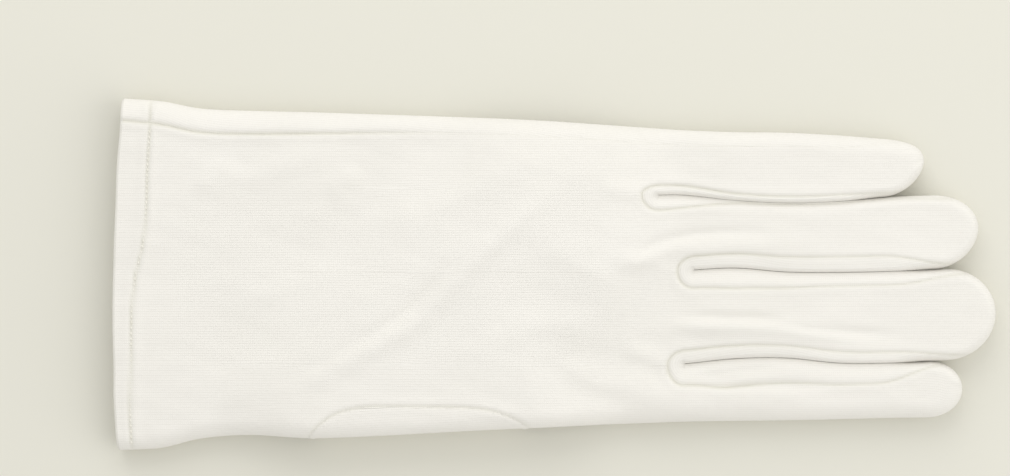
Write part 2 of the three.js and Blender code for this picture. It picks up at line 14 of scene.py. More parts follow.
import bpy
import numpy as np
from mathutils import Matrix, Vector


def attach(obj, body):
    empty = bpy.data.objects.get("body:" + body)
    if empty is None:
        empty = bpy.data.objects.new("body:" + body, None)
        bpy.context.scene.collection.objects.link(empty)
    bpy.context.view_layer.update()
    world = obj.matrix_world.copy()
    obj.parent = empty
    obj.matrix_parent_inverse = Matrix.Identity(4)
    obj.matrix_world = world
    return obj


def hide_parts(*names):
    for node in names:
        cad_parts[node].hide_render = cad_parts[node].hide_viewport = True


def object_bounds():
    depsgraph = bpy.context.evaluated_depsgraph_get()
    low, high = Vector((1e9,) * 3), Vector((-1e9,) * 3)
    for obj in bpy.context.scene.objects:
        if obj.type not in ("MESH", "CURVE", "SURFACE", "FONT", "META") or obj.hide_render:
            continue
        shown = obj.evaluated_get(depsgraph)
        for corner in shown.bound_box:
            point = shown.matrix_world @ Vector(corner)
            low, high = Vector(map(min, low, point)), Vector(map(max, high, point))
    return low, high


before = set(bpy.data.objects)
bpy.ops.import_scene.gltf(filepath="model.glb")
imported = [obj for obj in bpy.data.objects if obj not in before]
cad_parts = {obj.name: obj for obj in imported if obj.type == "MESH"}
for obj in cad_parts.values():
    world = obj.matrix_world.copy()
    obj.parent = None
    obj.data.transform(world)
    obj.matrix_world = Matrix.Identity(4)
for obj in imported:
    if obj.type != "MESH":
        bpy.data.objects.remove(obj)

CAD_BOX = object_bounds()
MM = 0.001
LOG = logging.getLogger("glove")

# The two sides of the glove and the lines between its fingers: along is a share of the glove's length,
# the other columns are shares of the width of the hand.
LINES = np.array(
    [
        (0.0, -0.015, 0.252, 0.522, 0.786, 1.044),
        (0.046, -0.008, 0.252, 0.522, 0.783, 1.035),
        (0.091, 0.02, 0.252, 0.522, 0.78, 1.014),
        (0.15, 0.032, 0.251, 0.522, 0.779, 1.007),
        (0.228, 0.025, 0.249, 0.522, 0.777, 1.002),
        (0.44, 0.052, 0.243, 0.522, 0.768, 0.982),
        (0.595, 0.066, 0.24, 0.523, 0.752, 0.957),
        (0.64, 0.0705, 0.246, 0.526, 0.753, 0.949),
        (0.7, 0.073, 0.262, 0.534, 0.737, 0.943),
        (0.76, 0.075, 0.264, 0.522, 0.729, 0.941),
        (0.82, 0.078, 0.249, 0.521, 0.734, 0.933),
        (0.88, 0.082, 0.249, 0.524, 0.748, 0.921),
        (0.94, 0.084, 0.255, 0.531, 0.753, 0.915),
        (1.0, 0.084, 0.258, 0.537, 0.753, 0.909),
    ],
    dtype=[
        ("along", float),
        ("index_edge", float),
        ("index_middle", float),
        ("middle_ring", float),
        ("ring_little", float),
        ("little_edge", float),
    ],
)

# The seam inside the little finger's edge: its inset is a share of Glove.side_seam_inset.
SIDE_SEAM = np.array(
    [(0.0, 1.0), (0.09, 1.08), (0.18, 1.02), (0.365, 0.76), (0.6, 0.7), (0.8, 0.6), (1.0, 0.5)],
    dtype=[("along", float), ("inset", float)],
)

# The row of stitches that holds the cuff's hem: along and across are shares of the length and the width.
HEM_LINE = np.array(
    [
        (-0.1, 0.0125),
        (0.108, 0.0154),
        (0.363, 0.0181),
        (0.498, 0.0214),
        (0.633, 0.0304),
        (0.918, 0.0322),
        (1.15, 0.032),
    ],
    dtype=[("across", float), ("along", float)],
)

# The thumb's sections from its root to where its tip is rounded: rise and shift are shares of its length
# across and along the hand, turn is in degrees, spread widens it towards its root.
THUMB_SECTIONS = np.array(
    [
        (0.0, 0.0, 0.0, 0.0, 1.0),
        (0.2, 0.134, 0.069, 12.0, 0.61),
        (0.4, 0.275, 0.145, 26.0, 0.24),
        (0.6, 0.393, 0.226, 35.0, 0.07),
        (0.8, 0.528, 0.333, 38.0, 0.01),
        (1.0, 0.663, 0.447, 38.0, 0.0),
    ],
    dtype=[("place", float), ("rise", float), ("shift", float), ("turn", float), ("spread", float)],
)

# How strong each seam is at the cuff and at the fingertips, and the shares of the glove's length over which
# the first becomes the second.
SEAM_STRENGTHS = {
    "slot": (0.78, 0.6, 0.66, 0.8),
    "side": (0.9, 0.12, 0.2, 0.42),
    "hem": (0.8, 0.8, 0.0, 1.0),
    "arc": (0.6, 0.6, 0.0, 1.0),
    "under": (0.6, 0.4, 0.68, 1.0),
}

# How the cuff's edge waves: bells across the hand, each with its height as a share of Glove.cuff_wave, and
# its middle and width as shares of the glove's width. At its high end it is drawn in instead, by a share of
# Glove.cuff_wave, from a share of the width on.
CUFF_BELLS = ((1.0, 0.42, 0.3), (0.35, 0.12, 0.09))
CUFF_END = (0.8, 0.8)

# The cloth's unevenness: height, wavelength and seed of each ripple.
UNEVENNESS = ((0.34 * MM, 34 * MM, 3), (0.07 * MM, 9 * MM, 5))

# Points nearer than this are welded into one, and shorter lengths count as nothing.
WELD = 0.004 * MM
NOTHING = 1e-9

# Folds on the back: each is a ridge, or a furrow where its height is below 0, along a smooth curve from
# one point over a middle one to another. Places along the hand are shares of its length, places across
# it of its width; height and width are millimetres.
FOLDS = np.array(
    [
        (0.16, 0.12, 0.262, 0.258, 0.345, 0.385, 1.55, 3.4),
        (0.345, 0.385, 0.39, 0.52, 0.443, 0.654, 1.55, 3.4),
        (0.443, 0.654, 0.475, 0.72, 0.52, 0.81, 1.55, 3.4),
        (0.17, 0.165, 0.262, 0.297, 0.335, 0.415, -0.81, 2.0),
        (0.335, 0.415, 0.37, 0.51, 0.42, 0.65, -0.81, 2.0),
        (0.266, 0.57, 0.367, 0.72, 0.455, 0.858, 0.74, 4.0),
        (0.506, 0.27, 0.545, 0.2, 0.65, 0.165, 1.22, 3.6),
        (0.43, 0.33, 0.49, 0.37, 0.56, 0.3, 0.68, 4.0),
        (0.592, 0.35, 0.72, 0.355, 0.87, 0.312, 1.28, 2.6),
        (0.62, 0.386, 0.7, 0.386, 0.762, 0.376, -1.0, 1.4),
        (0.745, 0.368, 0.81, 0.346, 0.9, 0.336, -0.95, 1.4),
        (0.585, 0.54, 0.635, 0.628, 0.76, 0.636, -0.74, 1.4),
        (0.58, 0.5, 0.64, 0.592, 0.84, 0.6, 0.94, 2.4),
        (0.547, 0.125, 0.66, 0.147, 0.84, 0.144, 0.81, 3.4),
        (0.06, 0.732, 0.186, 0.837, 0.267, 0.93, 0.81, 4.5),
        (0.234, 0.738, 0.255, 0.79, 0.274, 0.843, 0.81, 3.2),
        (0.08, 0.768, 0.11, 0.82, 0.137, 0.858, 0.61, 3.2),
        (0.54, 0.78, 0.57, 0.765, 0.6, 0.752, 0.68, 2.6),
        (0.55, 0.56, 0.6, 0.55, 0.632, 0.522, 0.68, 2.8),
        (0.56, 0.3, 0.6, 0.27, 0.626, 0.235, 0.68, 2.6),
        (0.24, 0.6, 0.3, 0.68, 0.35, 0.74, 0.47, 4.0),
        (0.1, 0.4, 0.19, 0.47, 0.27, 0.56, 0.41, 5.0),
        (0.1, 0.1, 0.15, 0.2, 0.17, 0.32, 0.41, 4.5),
        (0.46, 0.6, 0.52, 0.55, 0.58, 0.42, 0.41, 4.0),
        (0.64, 0.186, 0.73, 0.18, 0.84, 0.178, -0.7, 1.3),
        (0.646, 0.21, 0.7, 0.222, 0.765, 0.246, -0.6, 1.0),
    ],
    dtype=[
        ("from_along", float),
        ("from_across", float),
        ("over_along", float),
        ("over_across", float),
        ("to_along", float),
        ("to_across", float),
        ("height", float),
        ("width", float),
    ],
)


class Line(Enum):
    """The lines that part the glove in plan, each named as its column of LINES."""

    INDEX_EDGE = "index_edge"
    INDEX_MIDDLE = "index_middle"
    MIDDLE_RING = "middle_ring"
    RING_LITTLE = "ring_little"
    LITTLE_EDGE = "little_edge"


class Face(Enum):
    """Which layer of the lying glove a panel makes."""

    BACK = 1
    PALM = -1


@dataclass(frozen=True)
class Finger:
    """One finger, from the index finger to the little one: its two lines and its tip.

    reach is the tip's share of the glove's length, cap the length of its rounding as a share of its
    width, and drift how far the tip leans to the little finger's side, as a share of the hand's width.
    """

    low: Line
    high: Line
    reach: float
    cap: float
    drift: float


@dataclass(frozen=True)
class Crotch:
    """Where two fingers part, and how much of the strip between them shows on each, in shares.

    low and high hold the share where the fingers part and the share further on, and settle the share of
    the glove's length over which the first becomes the second. dip is how much less shows on the low side
    right where they part.
    """

    line: Line
    node: str
    reach: float
    low: tuple[float, float]
    high: tuple[float, float]
    settle: float
    dip: float


FINGERS = (
    Finger(Line.INDEX_EDGE, Line.INDEX_MIDDLE, 0.962, 0.62, 0.0),
    Finger(Line.INDEX_MIDDLE, Line.MIDDLE_RING, 1.0, 0.55, 0.0),
    Finger(Line.MIDDLE_RING, Line.RING_LITTLE, 0.98, 0.62, 0.01),
    Finger(Line.RING_LITTLE, Line.LITTLE_EDGE, 0.918, 0.75, 0.022),
)
CROTCHES = (
    Crotch(Line.INDEX_MIDDLE, "fourchette_index_middle", 0.644, (1.85, 1.25), (0.85, 0.7), 0.24, 0.5),
    Crotch(Line.MIDDLE_RING, "fourchette_middle_ring", 0.655, (1.4, 0.85), (0.87, 0.98), 0.16, 0.25),
    Crotch(Line.RING_LITTLE, "fourchette_ring_little", 0.614, (0.95, 0.1), (0.6, 0.4), 0.104, 0.0),
)


def smooth_step(value: np.ndarray, start: float, end: float) -> np.ndarray:
    """An even S-shaped rise from 0 at start to 1 at end: t squared times (3 - 2 t).

    Args:
        value: the places.
        start: where the rise begins.
        end: where it is complete.

    Returns:
        The rise at each place.
    """
    t = np.clip((value - start) / (end - start), 0.0, 1.0)
    return t * t * (3.0 - 2.0 * t)


def read_table(table: np.ndarray, key: str, column: str, at: np.ndarray) -> np.ndarray:
    """Smooth values from a table: a cubic through its rows, with slopes from the rows on both sides.

    Args:
        table: a structured array with a rising key column.
        key: the key column's name.
        column: the name of the column to read.
        at: the key values to read it at.

    Returns:
        The column's value at each place.
    """
    keys, values = table[key], table[column]
    slopes = np.gradient(values, keys, edge_order=1)
    inner = (values[2:] - values[:-2]) / (keys[2:] - keys[:-2])
    slopes[1:-1] = inner
    at = np.asarray(at, float)
    row = np.clip(np.searchsorted(keys, at, side="right") - 1, 0, len(keys) - 2)
    step = keys[row + 1] - keys[row]
    t = np.clip((at - keys[row]) / step, 0.0, 1.0)
    rest = 1.0 - t
    first = rest * rest * (1.0 + 2.0 * t) * values[row] + rest * rest * t * step * slopes[row]
    return first + t * t * (3.0 - 2.0 * t) * values[row + 1] - t * t * rest * step * slopes[row + 1]


def round_rise(q: np.ndarray) -> np.ndarray:
    """A quarter of an ellipse: 0 where q is 0, and 1 from where it is 1."""
    return np.sqrt(1.0 - (1.0 - np.clip(q, 0.0, 1.0)) ** 2)


def drawn_apart(even: np.ndarray, pull: np.ndarray | float) -> np.ndarray:
    """Even shares from 0 to 1 drawn to both ends, where pull is how much of the spacing is a cosine's."""
    return even * (1.0 - pull) + (1.0 - np.cos(math.pi * even)) / 2 * pull


def nearest_on_path(path: np.ndarray, x: np.ndarray, y: np.ndarray) -> tuple[np.ndarray, np.ndarray]:
    """How far points in plan are from a path, the least over its segments, and where on it that is.

    Args:
        path: the path's points, one row each.
        x: the points' x.
        y: the points' y.

    Returns:
        The distance of each point in the shape of x, and the nearest place on the path from 0 to 1.
    """
    best = np.full(x.shape, np.inf)
    place = np.zeros(x.shape)
    count = len(path) - 1
    for row, ((ax, ay), (bx, by)) in enumerate(zip(path[:-1], path[1:])):
        ux, uy = bx - ax, by - ay
        span = ux * ux + uy * uy
        if span < NOTHING ** 2:
            continue
        t = np.clip(((x - ax) * ux + (y - ay) * uy) / span, 0.0, 1.0)
        away = (x - ax - t * ux) ** 2 + (y - ay - t * uy) ** 2
        nearer = away < best
        best = np.where(nearer, away, best)
        place = np.where(nearer, (row + t) / count, place)
    return np.sqrt(best), place


def path_distance(path: np.ndarray, x: np.ndarray, y: np.ndarray) -> np.ndarray:
    """The distance in plan from points to a path."""
    return nearest_on_path(path, x, y)[0]


def is_inside(outline: np.ndarray, x: np.ndarray, y: np.ndarray) -> np.ndarray:
    """Whether points lie in a closed outline: a ray from each crosses it an odd number of times.

    Args:
        outline: the outline's corners, one row each.
        x: the points' x.
        y: the points' y.

    Returns:
        True where a point is inside.
    """
    inside = np.zeros(x.shape, bool)
    for (ax, ay), (bx, by) in zip(outline, np.roll(outline, 1, axis=0)):
        if ay == by:
            continue
        crosses = (ay > y) != (by > y)
        inside ^= crosses & (x < (bx - ax) * (y - ay) / (by - ay) + ax)
    return inside


def ripple(x: np.ndarray, y: np.ndarray, wave: float, seed: int, count: int = 14) -> np.ndarray:
    """Gentle unevenness between -1 and 1: the mean of sine waves in seeded directions.

    Args:
        x: the points' x.
        y: the points' y.
        wave: the typical wavelength.
        seed: which set of waves.
        count: how many waves.

    Returns:
        The unevenness at each point.
    """
    draw = np.random.default_rng(seed)
    total = np.zeros(x.shape)
    for _ in range(count):
        angle = draw.uniform(0.0, 2.0 * math.pi)
        rate = 2.0 * math.pi / (wave * draw.uniform(0.7, 1.6))
        phase = draw.uniform(0.0, 2.0 * math.pi)
        total += np.sin(rate * (x * math.cos(angle) + y * math.sin(angle)) + phase)
    return total / math.sqrt(count)


@dataclass(frozen=True)
class Fold:
    """A ridge in the cloth, or a furrow where its height is below 0: its path in plan, height and width."""

    path: np.ndarray
    height: float
    width: float


@dataclass(frozen=True)
class Seam:
    """A seam's path in plan, and how its strength changes along the glove: from first to last over fade."""

    path: np.ndarray
    first: float
    last: float
    fade: tuple[float, float]

    def strength(self, x: np.ndarray) -> np.ndarray:
        """The seam's strength at x."""
        return self.first + (self.last - self.first) * smooth_step(x, *self.fade)


@dataclass(frozen=True)
class Side:
    """One side of a finger in plan, and its crotch and where its gap opens if it lies at one."""

    path: np.ndarray
    crotch: Crotch | None
    opens: float


@dataclass
class Glove:
    """The glove's own sizes, and its plan and heights as functions of a point in plan.

    Lengths are metres. The two gap_radii are the valley's widths on the low and the high side of a gap. The
    silhouette and the seams run out past the cuff's edge by past_cuff and seam_past_cuff, shares of the
    length. The blends and the taper are shares too. The fields that end in points are counts of points on a
    path, and outline_cells the counts of cells along the thumb and round its tip for its outline.
    """

    length: float = CAD_BOX[1].x - CAD_BOX[0].x
    width: float = (CAD_BOX[1].y - CAD_BOX[0].y) / float(
        LINES["little_edge"][0] - LINES["index_edge"][0]
    )
    cuff_thickness: float = 9.4 * MM
    hand_thickness: float = 9.2 * MM
    finger_thickness: float = 9.6 * MM
    hand_blend: tuple[float, float] = (0.05, 0.3)
    finger_blend: tuple[float, float] = (0.55, 0.7)
    edge_radius: float = 5.0 * MM
    tip_radius: float = 3.0 * MM
    gap_radii: tuple[float, float] = (4.0 * MM, 1.1 * MM)
    gap_start: float = 0.68
    gap_fade: float = 12.0 * MM
    cloth: float = 0.9 * MM
    finger_gap: float = 0.04 * MM
    side_seam_inset: float = 6.5 * MM
    under_seam_inset: float = 5.5 * MM
    fourchette_width: float = 4.5 * MM
    fourchette_loop: float = 5.0 * MM
    dip_length: float = 13.0 * MM
    seam_end_share: float = 0.45
    seam_lead: float = 15.0 * MM
    thumb_thickness: float = 5.4 * MM
    thumb_clearance: float = 0.3 * MM
    thumb_width: float = 26.0 * MM
    thumb_length: float = 79.0 * MM
    thumb_seam_start: float = 53.6 * MM
    thumb_seam_length: float = 63.3 * MM
    thumb_seam_depth: float = 10.0 * MM
    thumb_seam_power: float = 4.5
    thumb_seam_lean: float = 0.4
    thumb_root_share: float = 0.43
    lift_start: float = 3.0 * MM
    lift_end: float = 32.0 * MM
    hem_width: float = 7.0 * MM
    seam_depth: float = 0.45 * MM
    seam_width: float = 0.5 * MM
    seam_puff: float = 0.4 * MM
    seam_puff_width: float = 1.6 * MM
    cuff_wave: float = 1.3 * MM
    cuff_wave_length: float = 22.0 * MM
    palm_dip_share: float = 0.5
    fold_taper: tuple[float, float] = (-0.02, 0.35)
    past_cuff: float = 0.1
    seam_past_cuff: float = 0.02
    outline_cells: tuple[int, int] = (20, 8)
    edge_points: int = 90
    end_points: int = 6
    tip_points: int = 30
    seam_points: int = 120
    slot_points: int = 60
    loop_points: int = 14
    fold_points: int = 17

    def __post_init__(self) -> None:
        """Works out where the plan lies in the frame, and the paths that many heights depend on."""
        low_edge = CAD_BOX[0].y - self.width * float(LINES["index_edge"][0])
        self.origin = np.array([CAD_BOX[0].x, low_edge, 0.0])
        self.half_gap = self.finger_gap / 2
        self.loop_reach = self.fourchette_loop + self.half_gap
        self.silhouette = self._silhouette()
        self.thumb_outline = self._thumb_outline()
        slots = [self.seam("slot", self.slot_path(crotch)) for crotch in CROTCHES]
        hem = self.seam("hem", self.hem_path())
        side, arc = self.seam("side", self.side_seam_path()), self.seam("arc", self.arc_path())
        self.back_seams = [*slots, side, hem, arc]
        self.palm_seams = [*slots, hem, self.seam("under", self.under_seam_path())]
        self.fold_paths = self._fold_paths()

    def seam(self, name: str, path: np.ndarray) -> Seam:
        """A seam along a path, with its strength from SEAM_STRENGTHS."""
        first, last, start, end = SEAM_STRENGTHS[name]
        return Seam(path, first, last, (start * self.length, end * self.length))

    def line(self, line: Line, x: np.ndarray) -> np.ndarray:
        """The y of a line of LINES at x."""
        return self.width * read_table(LINES, "along", line.value, np.asarray(x, float) / self.length)

    def parting(self, crotch: Crotch) -> float:
        """The x of the middle of the round end of the gap between two fingers."""
        return self.length * crotch.reach + self.half_gap

    def gap_half(self, line: Line, x: np.ndarray) -> np.ndarray:
        """Half the width of the gap on a line: nothing, then a round end, then half of the gap.

        Args:
            line: the line.
            x: places along the glove.

        Returns:
            Half the width at each place.
        """
        crotch = crotch_of(line)
        if crotch is None:
            return np.zeros_like(x)
        t = np.clip((self.parting(crotch) - x) / self.half_gap, 0.0, 1.0)
        return self.half_gap * np.sqrt(1.0 - t * t)

    def cap_range(self, finger: Finger) -> tuple[float, float]:
        """Where a finger's tip rounds.

        Args:
            finger: the finger.

        Returns:
            The x where the rounding starts, and the x of the tip.
        """
        tip = self.length * finger.reach
        wide = float(self.line(finger.high, tip) - self.line(finger.low, tip))
        return tip - finger.cap * wide, tip

    def seam_end(self, finger: Finger) -> float:
        """Where the seams along a finger run out on its tip."""
        start, tip = self.cap_range(finger)
        return start + self.seam_end_share * (tip - start)

    def finger_sides(self, finger: Finger, x: np.ndarray) -> tuple[np.ndarray, np.ndarray]:
        """The two sides of a finger at x, drawn together at its tip as half an ellipse.

        Args:
            finger: the finger.
            x: places along the glove.

        Returns:
            The low and the high side's y.
        """
        start, tip = self.cap_range(finger)
        low = self.line(finger.low, x) + self.gap_half(finger.low, x)
        high = self.line(finger.high, x) - self.gap_half(finger.high, x)
        t = np.clip((x - start) / (tip - start), 0.0, 1.0)
        middle = (low + high) / 2 + self.width * finger.drift * t * t
        half = (high - low) / 2 * np.sqrt(1.0 - t * t)
        return middle - half, middle + half

    def cap_rows(self, finger: Finger, count: int) -> np.ndarray:
        """Places along a finger's rounded tip, closer together towards its end."""
        start, tip = self.cap_range(finger)
        return start + (tip - start) * np.sin(np.linspace(0.0, math.pi / 2, count + 1)[1:])

    def _silhouette(self) -> list[Side]:
        """The glove's silhouette without its open cuff end, which it runs out past.

        Returns:
            Each side of each finger.
        """
        sides = []
        for finger in FINGERS:
            start, _ = self.cap_range(finger)
            for side, line in enumerate((finger.low, finger.high)):
                crotch = crotch_of(line)
                first = self.length * (crotch.reach if crotch else -self.past_cuff)
                straight = np.linspace(first, start, self.edge_points)
                x = np.concatenate([straight, self.cap_rows(finger, self.tip_points)])
                opens = 0.0
                if crotch:
                    turn = np.linspace(0, math.pi / 2, self.end_points)
                    x = np.unique(np.concatenate([x, first + self.half_gap * (1 - np.cos(turn))]))
                    opens = min(self.cap_range(finger_at(line, high))[0] for high in (False, True))
                path = np.stack([x, self.finger_sides(finger, x)[side]], axis=-1)
                sides.append(Side(path, crotch, opens))
        return sides

    def rise(self, x: np.ndarray, y: np.ndarray) -> np.ndarray:
        """How far the cloth has risen from the silhouette.

        It is the square root of 1 - (1 - q) squared, q being the distance from a side over the width of
        its rounding. Where two fingers touch, the cloth stands up straight to gap_start and rises from
        there as a quarter of a sine wave. That makes a shallow valley, steeper on the high side.

        Args:
            x: the points' x.
            y: the points' y.

        Returns:
            A share that is 0 on an outer edge and 1 away from all edges.
        """
        least = np.ones(x.shape)
        for side in self.silhouette:
            away = path_distance(side.path, x, y)
            if side.crotch is None:
                least = np.minimum(least, round_rise(away / self.edge_radius))
                continue
            q = np.clip(away / self.gap_width(side.crotch, x, y), 0.0, 1.0)
            valley = self.gap_start + (1.0 - self.gap_start) * np.sin(math.pi / 2 * q)
            tip = round_rise(away / self.tip_radius)
            open_share = smooth_step(x, side.opens - self.gap_fade, side.opens)
            least = np.minimum(least, valley + (tip - valley) * open_share)
        return least

    def gap_width(self, crotch: Crotch, x: np.ndarray, y: np.ndarray) -> np.ndarray:
        """How wide the valley at a gap is on a point's side, turning evenly round the gap's end.

        Args:
            crotch: where the gap starts.
            x: the points' x.
            y: the points' y.

        Returns:
            The width at each point.
        """
        off = y - self.line(crotch.line, x)
        ahead = np.maximum(self.parting(crotch) - x, 0.0)
        high = 0.5 + 0.5 * off / (np.hypot(off, ahead) + NOTHING)
        return self.gap_radii[0] + (self.gap_radii[1] - self.gap_radii[0]) * high

    def drawn_in(self, finger: Finger, x: np.ndarray, share: np.ndarray) -> np.ndarray:
        """How far a finger's rounded tip draws its side in at a share of the rounding."""
        half = (self.line(finger.high, x) - self.line(finger.low, x)) / 2
        return half * (1.0 - np.sqrt(1.0 - share * share))

    def seam_inset(self, finger: Finger, x: np.ndarray, wanted: np.ndarray | float) -> np.ndarray:
        """How far in from a finger's edge a seam lies at x.

        It is as wanted along the finger, then runs nearly straight over the tip while the edge curves in
        to meet it, and is nothing from there on.

        Args:
            finger: the finger.
            x: places along the glove.
            wanted: the inset before the tip.

        Returns:
            The inset at each place.
        """
        start, tip = self.cap_range(finger)
        here = self.drawn_in(finger, x, np.clip((x - start) / (tip - start), 0.0, 1.0))
        met = smooth_step(x, start - self.seam_lead, self.seam_end(finger))
        at_end = self.drawn_in(finger, x, np.full_like(x, self.seam_end_share))
        inset = wanted + (at_end - wanted) * met - here
        return np.where(x < self.seam_end(finger) - NOTHING, np.maximum(inset, 0.0), 0.0)

    def strip_shown(self, crotch: Crotch, high: bool, x: np.ndarray) -> np.ndarray:
        """How wide a fourchette shows on one of its two fingers, before the tip.

        Args:
            crotch: the crotch.
            high: whether the finger nearer the little finger is meant.
            x: places along the glove.

        Returns:
            The width at each place.
        """
        first, last = crotch.high if high else crotch.low
        end = self.length * crotch.reach
        settled = smooth_step(x, end, end + self.length * crotch.settle)
        dip = 0.0 if high else crotch.dip * (1.0 - smooth_step(x, end, end + self.dip_length))
        return self.fourchette_width * (first + (last - first) * settled - dip)

    def slot_half(self, crotch: Crotch, high: bool, x: np.ndarray) -> np.ndarray:
        """Half the width at x of the slot that a fourchette fills, on one side of its line.

        Before the fingers part it is the half of an ellipse, and along a finger the gap's half and the
        part of the strip that shows.

        Args:
            crotch: the crotch.
            high: whether the side nearer the little finger is meant.
            x: places along the glove.

        Returns:
            The distance from the line to the seam.
        """
        finger = finger_at(crotch.line, high)
        shown = self.strip_shown(crotch, high, x)
        t = np.clip((self.parting(crotch) - x) / self.loop_reach, 0.0, 1.0)
        ahead = self.strip_shown(crotch, high, np.minimum(x, self.parting(crotch) - self.half_gap))
        loop = (self.half_gap + ahead) * np.sqrt(1.0 - t * t)
        side = self.finger_sides(finger, x)[0 if high else 1]
        away = np.abs(side - self.line(crotch.line, x)) + self.seam_inset(finger, x, shown)
        return np.where(x < self.parting(crotch), loop, away)

    def slot_path(self, crotch: Crotch) -> np.ndarray:
        """The seam round a fourchette: along one finger, round the loop, and along the other.

        Args:
            crotch: the crotch.

        Returns:
            The seam's points in plan.
        """
        sides = []
        for high in (False, True):
            x = self.slot_rows(crotch, finger_at(crotch.line, high))
            way = 1.0 if high else -1.0
            y = self.line(crotch.line, x) + way * self.slot_half(crotch, high, x)
            sides.append(np.stack([x, y], axis=-1))
        return np.concatenate([sides[0][::-1], sides[1][1:]])

    def slot_rows(self, crotch: Crotch, finger: Finger) -> np.ndarray:
        """Places along one side of a slot, from the far end of its loop to the seam's end on a finger.

        Args:
            crotch: the crotch.
            finger: the finger on that side.

        Returns:
            The places' x.
        """
        turn = np.linspace(0.0, math.pi / 2, self.loop_points)
        loop = self.parting(crotch) - self.loop_reach * np.cos(turn)
        straight = np.linspace(self.parting(crotch), self.seam_end(finger), self.slot_points)[1:]
        return np.concatenate([loop, straight])

    def side_inset(self, x: np.ndarray) -> np.ndarray:
        """How far the seam on the little finger's side lies in from the edge at x."""
        share = read_table(SIDE_SEAM, "along", "inset", np.maximum(x, 0.0) / self.length)
        return self.seam_inset(FINGERS[-1], x, self.side_seam_inset * share)

    def under_inset(self, x: np.ndarray) -> np.ndarray:
        """How far the hidden seam on the index finger's side lies in from the edge at x."""
        return self.seam_inset(FINGERS[0], x, self.under_seam_inset)

    def side_seam_path(self) -> np.ndarray:
        """The seam on the back along the little finger's side."""
        x = np.linspace(-self.seam_past_cuff * self.length, self.seam_end(FINGERS[-1]), self.seam_points)
        return np.stack([x, self.finger_sides(FINGERS[-1], x)[1] - self.side_inset(x)], axis=-1)

    def under_seam_path(self) -> np.ndarray:
        """The seam on the palm along the index finger's side."""
        x = np.linspace(-self.seam_past_cuff * self.length, self.seam_end(FINGERS[0]), self.seam_points)
        return np.stack([x, self.finger_sides(FINGERS[0], x)[0] + self.under_inset(x)], axis=-1)

    def arc_inset(self, x: np.ndarray) -> np.ndarray:
        """How far the thumb's seam lies in from the edge: one minus a steep power, leaning to the cuff.

        Args:
            x: places along the glove.

        Returns:
            The inset at each place.
        """
        u = np.clip((x - self.thumb_seam_start) / self.thumb_seam_length, 0.0, 1.0)
        arc = 1.0 - np.abs(2.0 * u - 1.0) ** self.thumb_seam_power
        return self.thumb_seam_depth * (1.0 - self.thumb_seam_lean * u) * arc

    def arc_path(self) -> np.ndarray:
        """The thumb's arc-shaped seam on the back, as points in plan closer together at its ends.

        Returns:
            The seam's points.
        """
        u = (1.0 - np.cos(np.linspace(0.0, math.pi, self.slot_points))) / 2
        x = self.thumb_seam_start + self.thumb_seam_length * u
        return np.stack([x, self.line(Line.INDEX_EDGE, x) + self.arc_inset(x)], axis=-1)

    def thumb_sections(self, count: int, cap: int) -> dict[str, np.ndarray]:
        """The thumb's sections: their middles, their turns and their half widths.

        Args:
            count: cells from the root to where the tip rounds.
            cap: cells of the rounded tip.

        Returns:
            Arrays x, y, turn and half, one value for each section.
        """
        place = np.linspace(0.0, 1.0, count + 1)
        names = ("rise", "shift", "turn", "spread")
        read = {name: read_table(THUMB_SECTIONS, "place", name, place) for name in names}
        root_x = self.thumb_seam_start + self.thumb_seam_length / 2
        root_y = float(self.line(Line.INDEX_EDGE, root_x)) + self.edge_radius
        root_half = self.thumb_root_share * self.thumb_seam_length
        half = self.thumb_width / 2 + read["spread"] * (root_half - self.thumb_width / 2)
        x = root_x + self.thumb_length * read["shift"]
        y = root_y + self.thumb_length * read["rise"]
        turn = np.radians(read["turn"])
        angle = np.linspace(0.0, math.pi / 2, cap + 1)[1:]
        ahead = self.thumb_width / 2 * np.sin(angle)
        return {
            "x": np.concatenate([x, x[-1] + ahead * math.sin(turn[-1])]),
            "y": np.concatenate([y, y[-1] + ahead * math.cos(turn[-1])]),
            "turn": np.concatenate([turn, np.full(cap, turn[-1])]),
            "half": np.concatenate([half, half[-1] * np.cos(angle)]),
        }

    def _thumb_outline(self) -> np.ndarray:
        """The thumb's outline in plan, run out past the edge of the hand at its root.

        Returns:
            The outline's corners.
        """
        s = self.thumb_sections(*self.outline_cells)
        sides = []
        for across in (-1.0, 1.0):
            x = s["x"] + across * s["half"] * np.cos(s["turn"])
            y = s["y"] - across * s["half"] * np.sin(s["turn"])
            out = s["y"][0] - self.seam_lead
            sides.append(np.concatenate([[[x[0], out]], np.stack([x, y], axis=-1)]))
        return np.concatenate([sides[0], sides[1][::-1]])

    def lift(self, x: np.ndarray, y: np.ndarray) -> np.ndarray:
        """How far the hand is lifted by the thumb under it: full over the thumb, then an even fall.

        Args:
            x: the points' x.
            y: the points' y.

        Returns:
            The lift at each point.
        """
        away = path_distance(np.concatenate([self.thumb_outline, self.thumb_outline[:1]]), x, y)
        away = np.where(is_inside(self.thumb_outline, x, y), 0.0, away)
        full = self.thumb_thickness + self.thumb_clearance
        return full * (1.0 - smooth_step(away, self.lift_start, self.lift_end))

    def thickness(self, x: np.ndarray) -> np.ndarray:
        """The lying glove's thickness: the cuff's, the hand's and the fingers', blended.

        Args:
            x: places along the glove.

        Returns:
            The thickness at each place.
        """
        share = x / self.length
        more = self.hand_thickness - self.cuff_thickness
        hand = self.cuff_thickness + more * smooth_step(share, *self.hand_blend)
        return hand + (self.finger_thickness - hand) * smooth_step(share, *self.finger_blend)

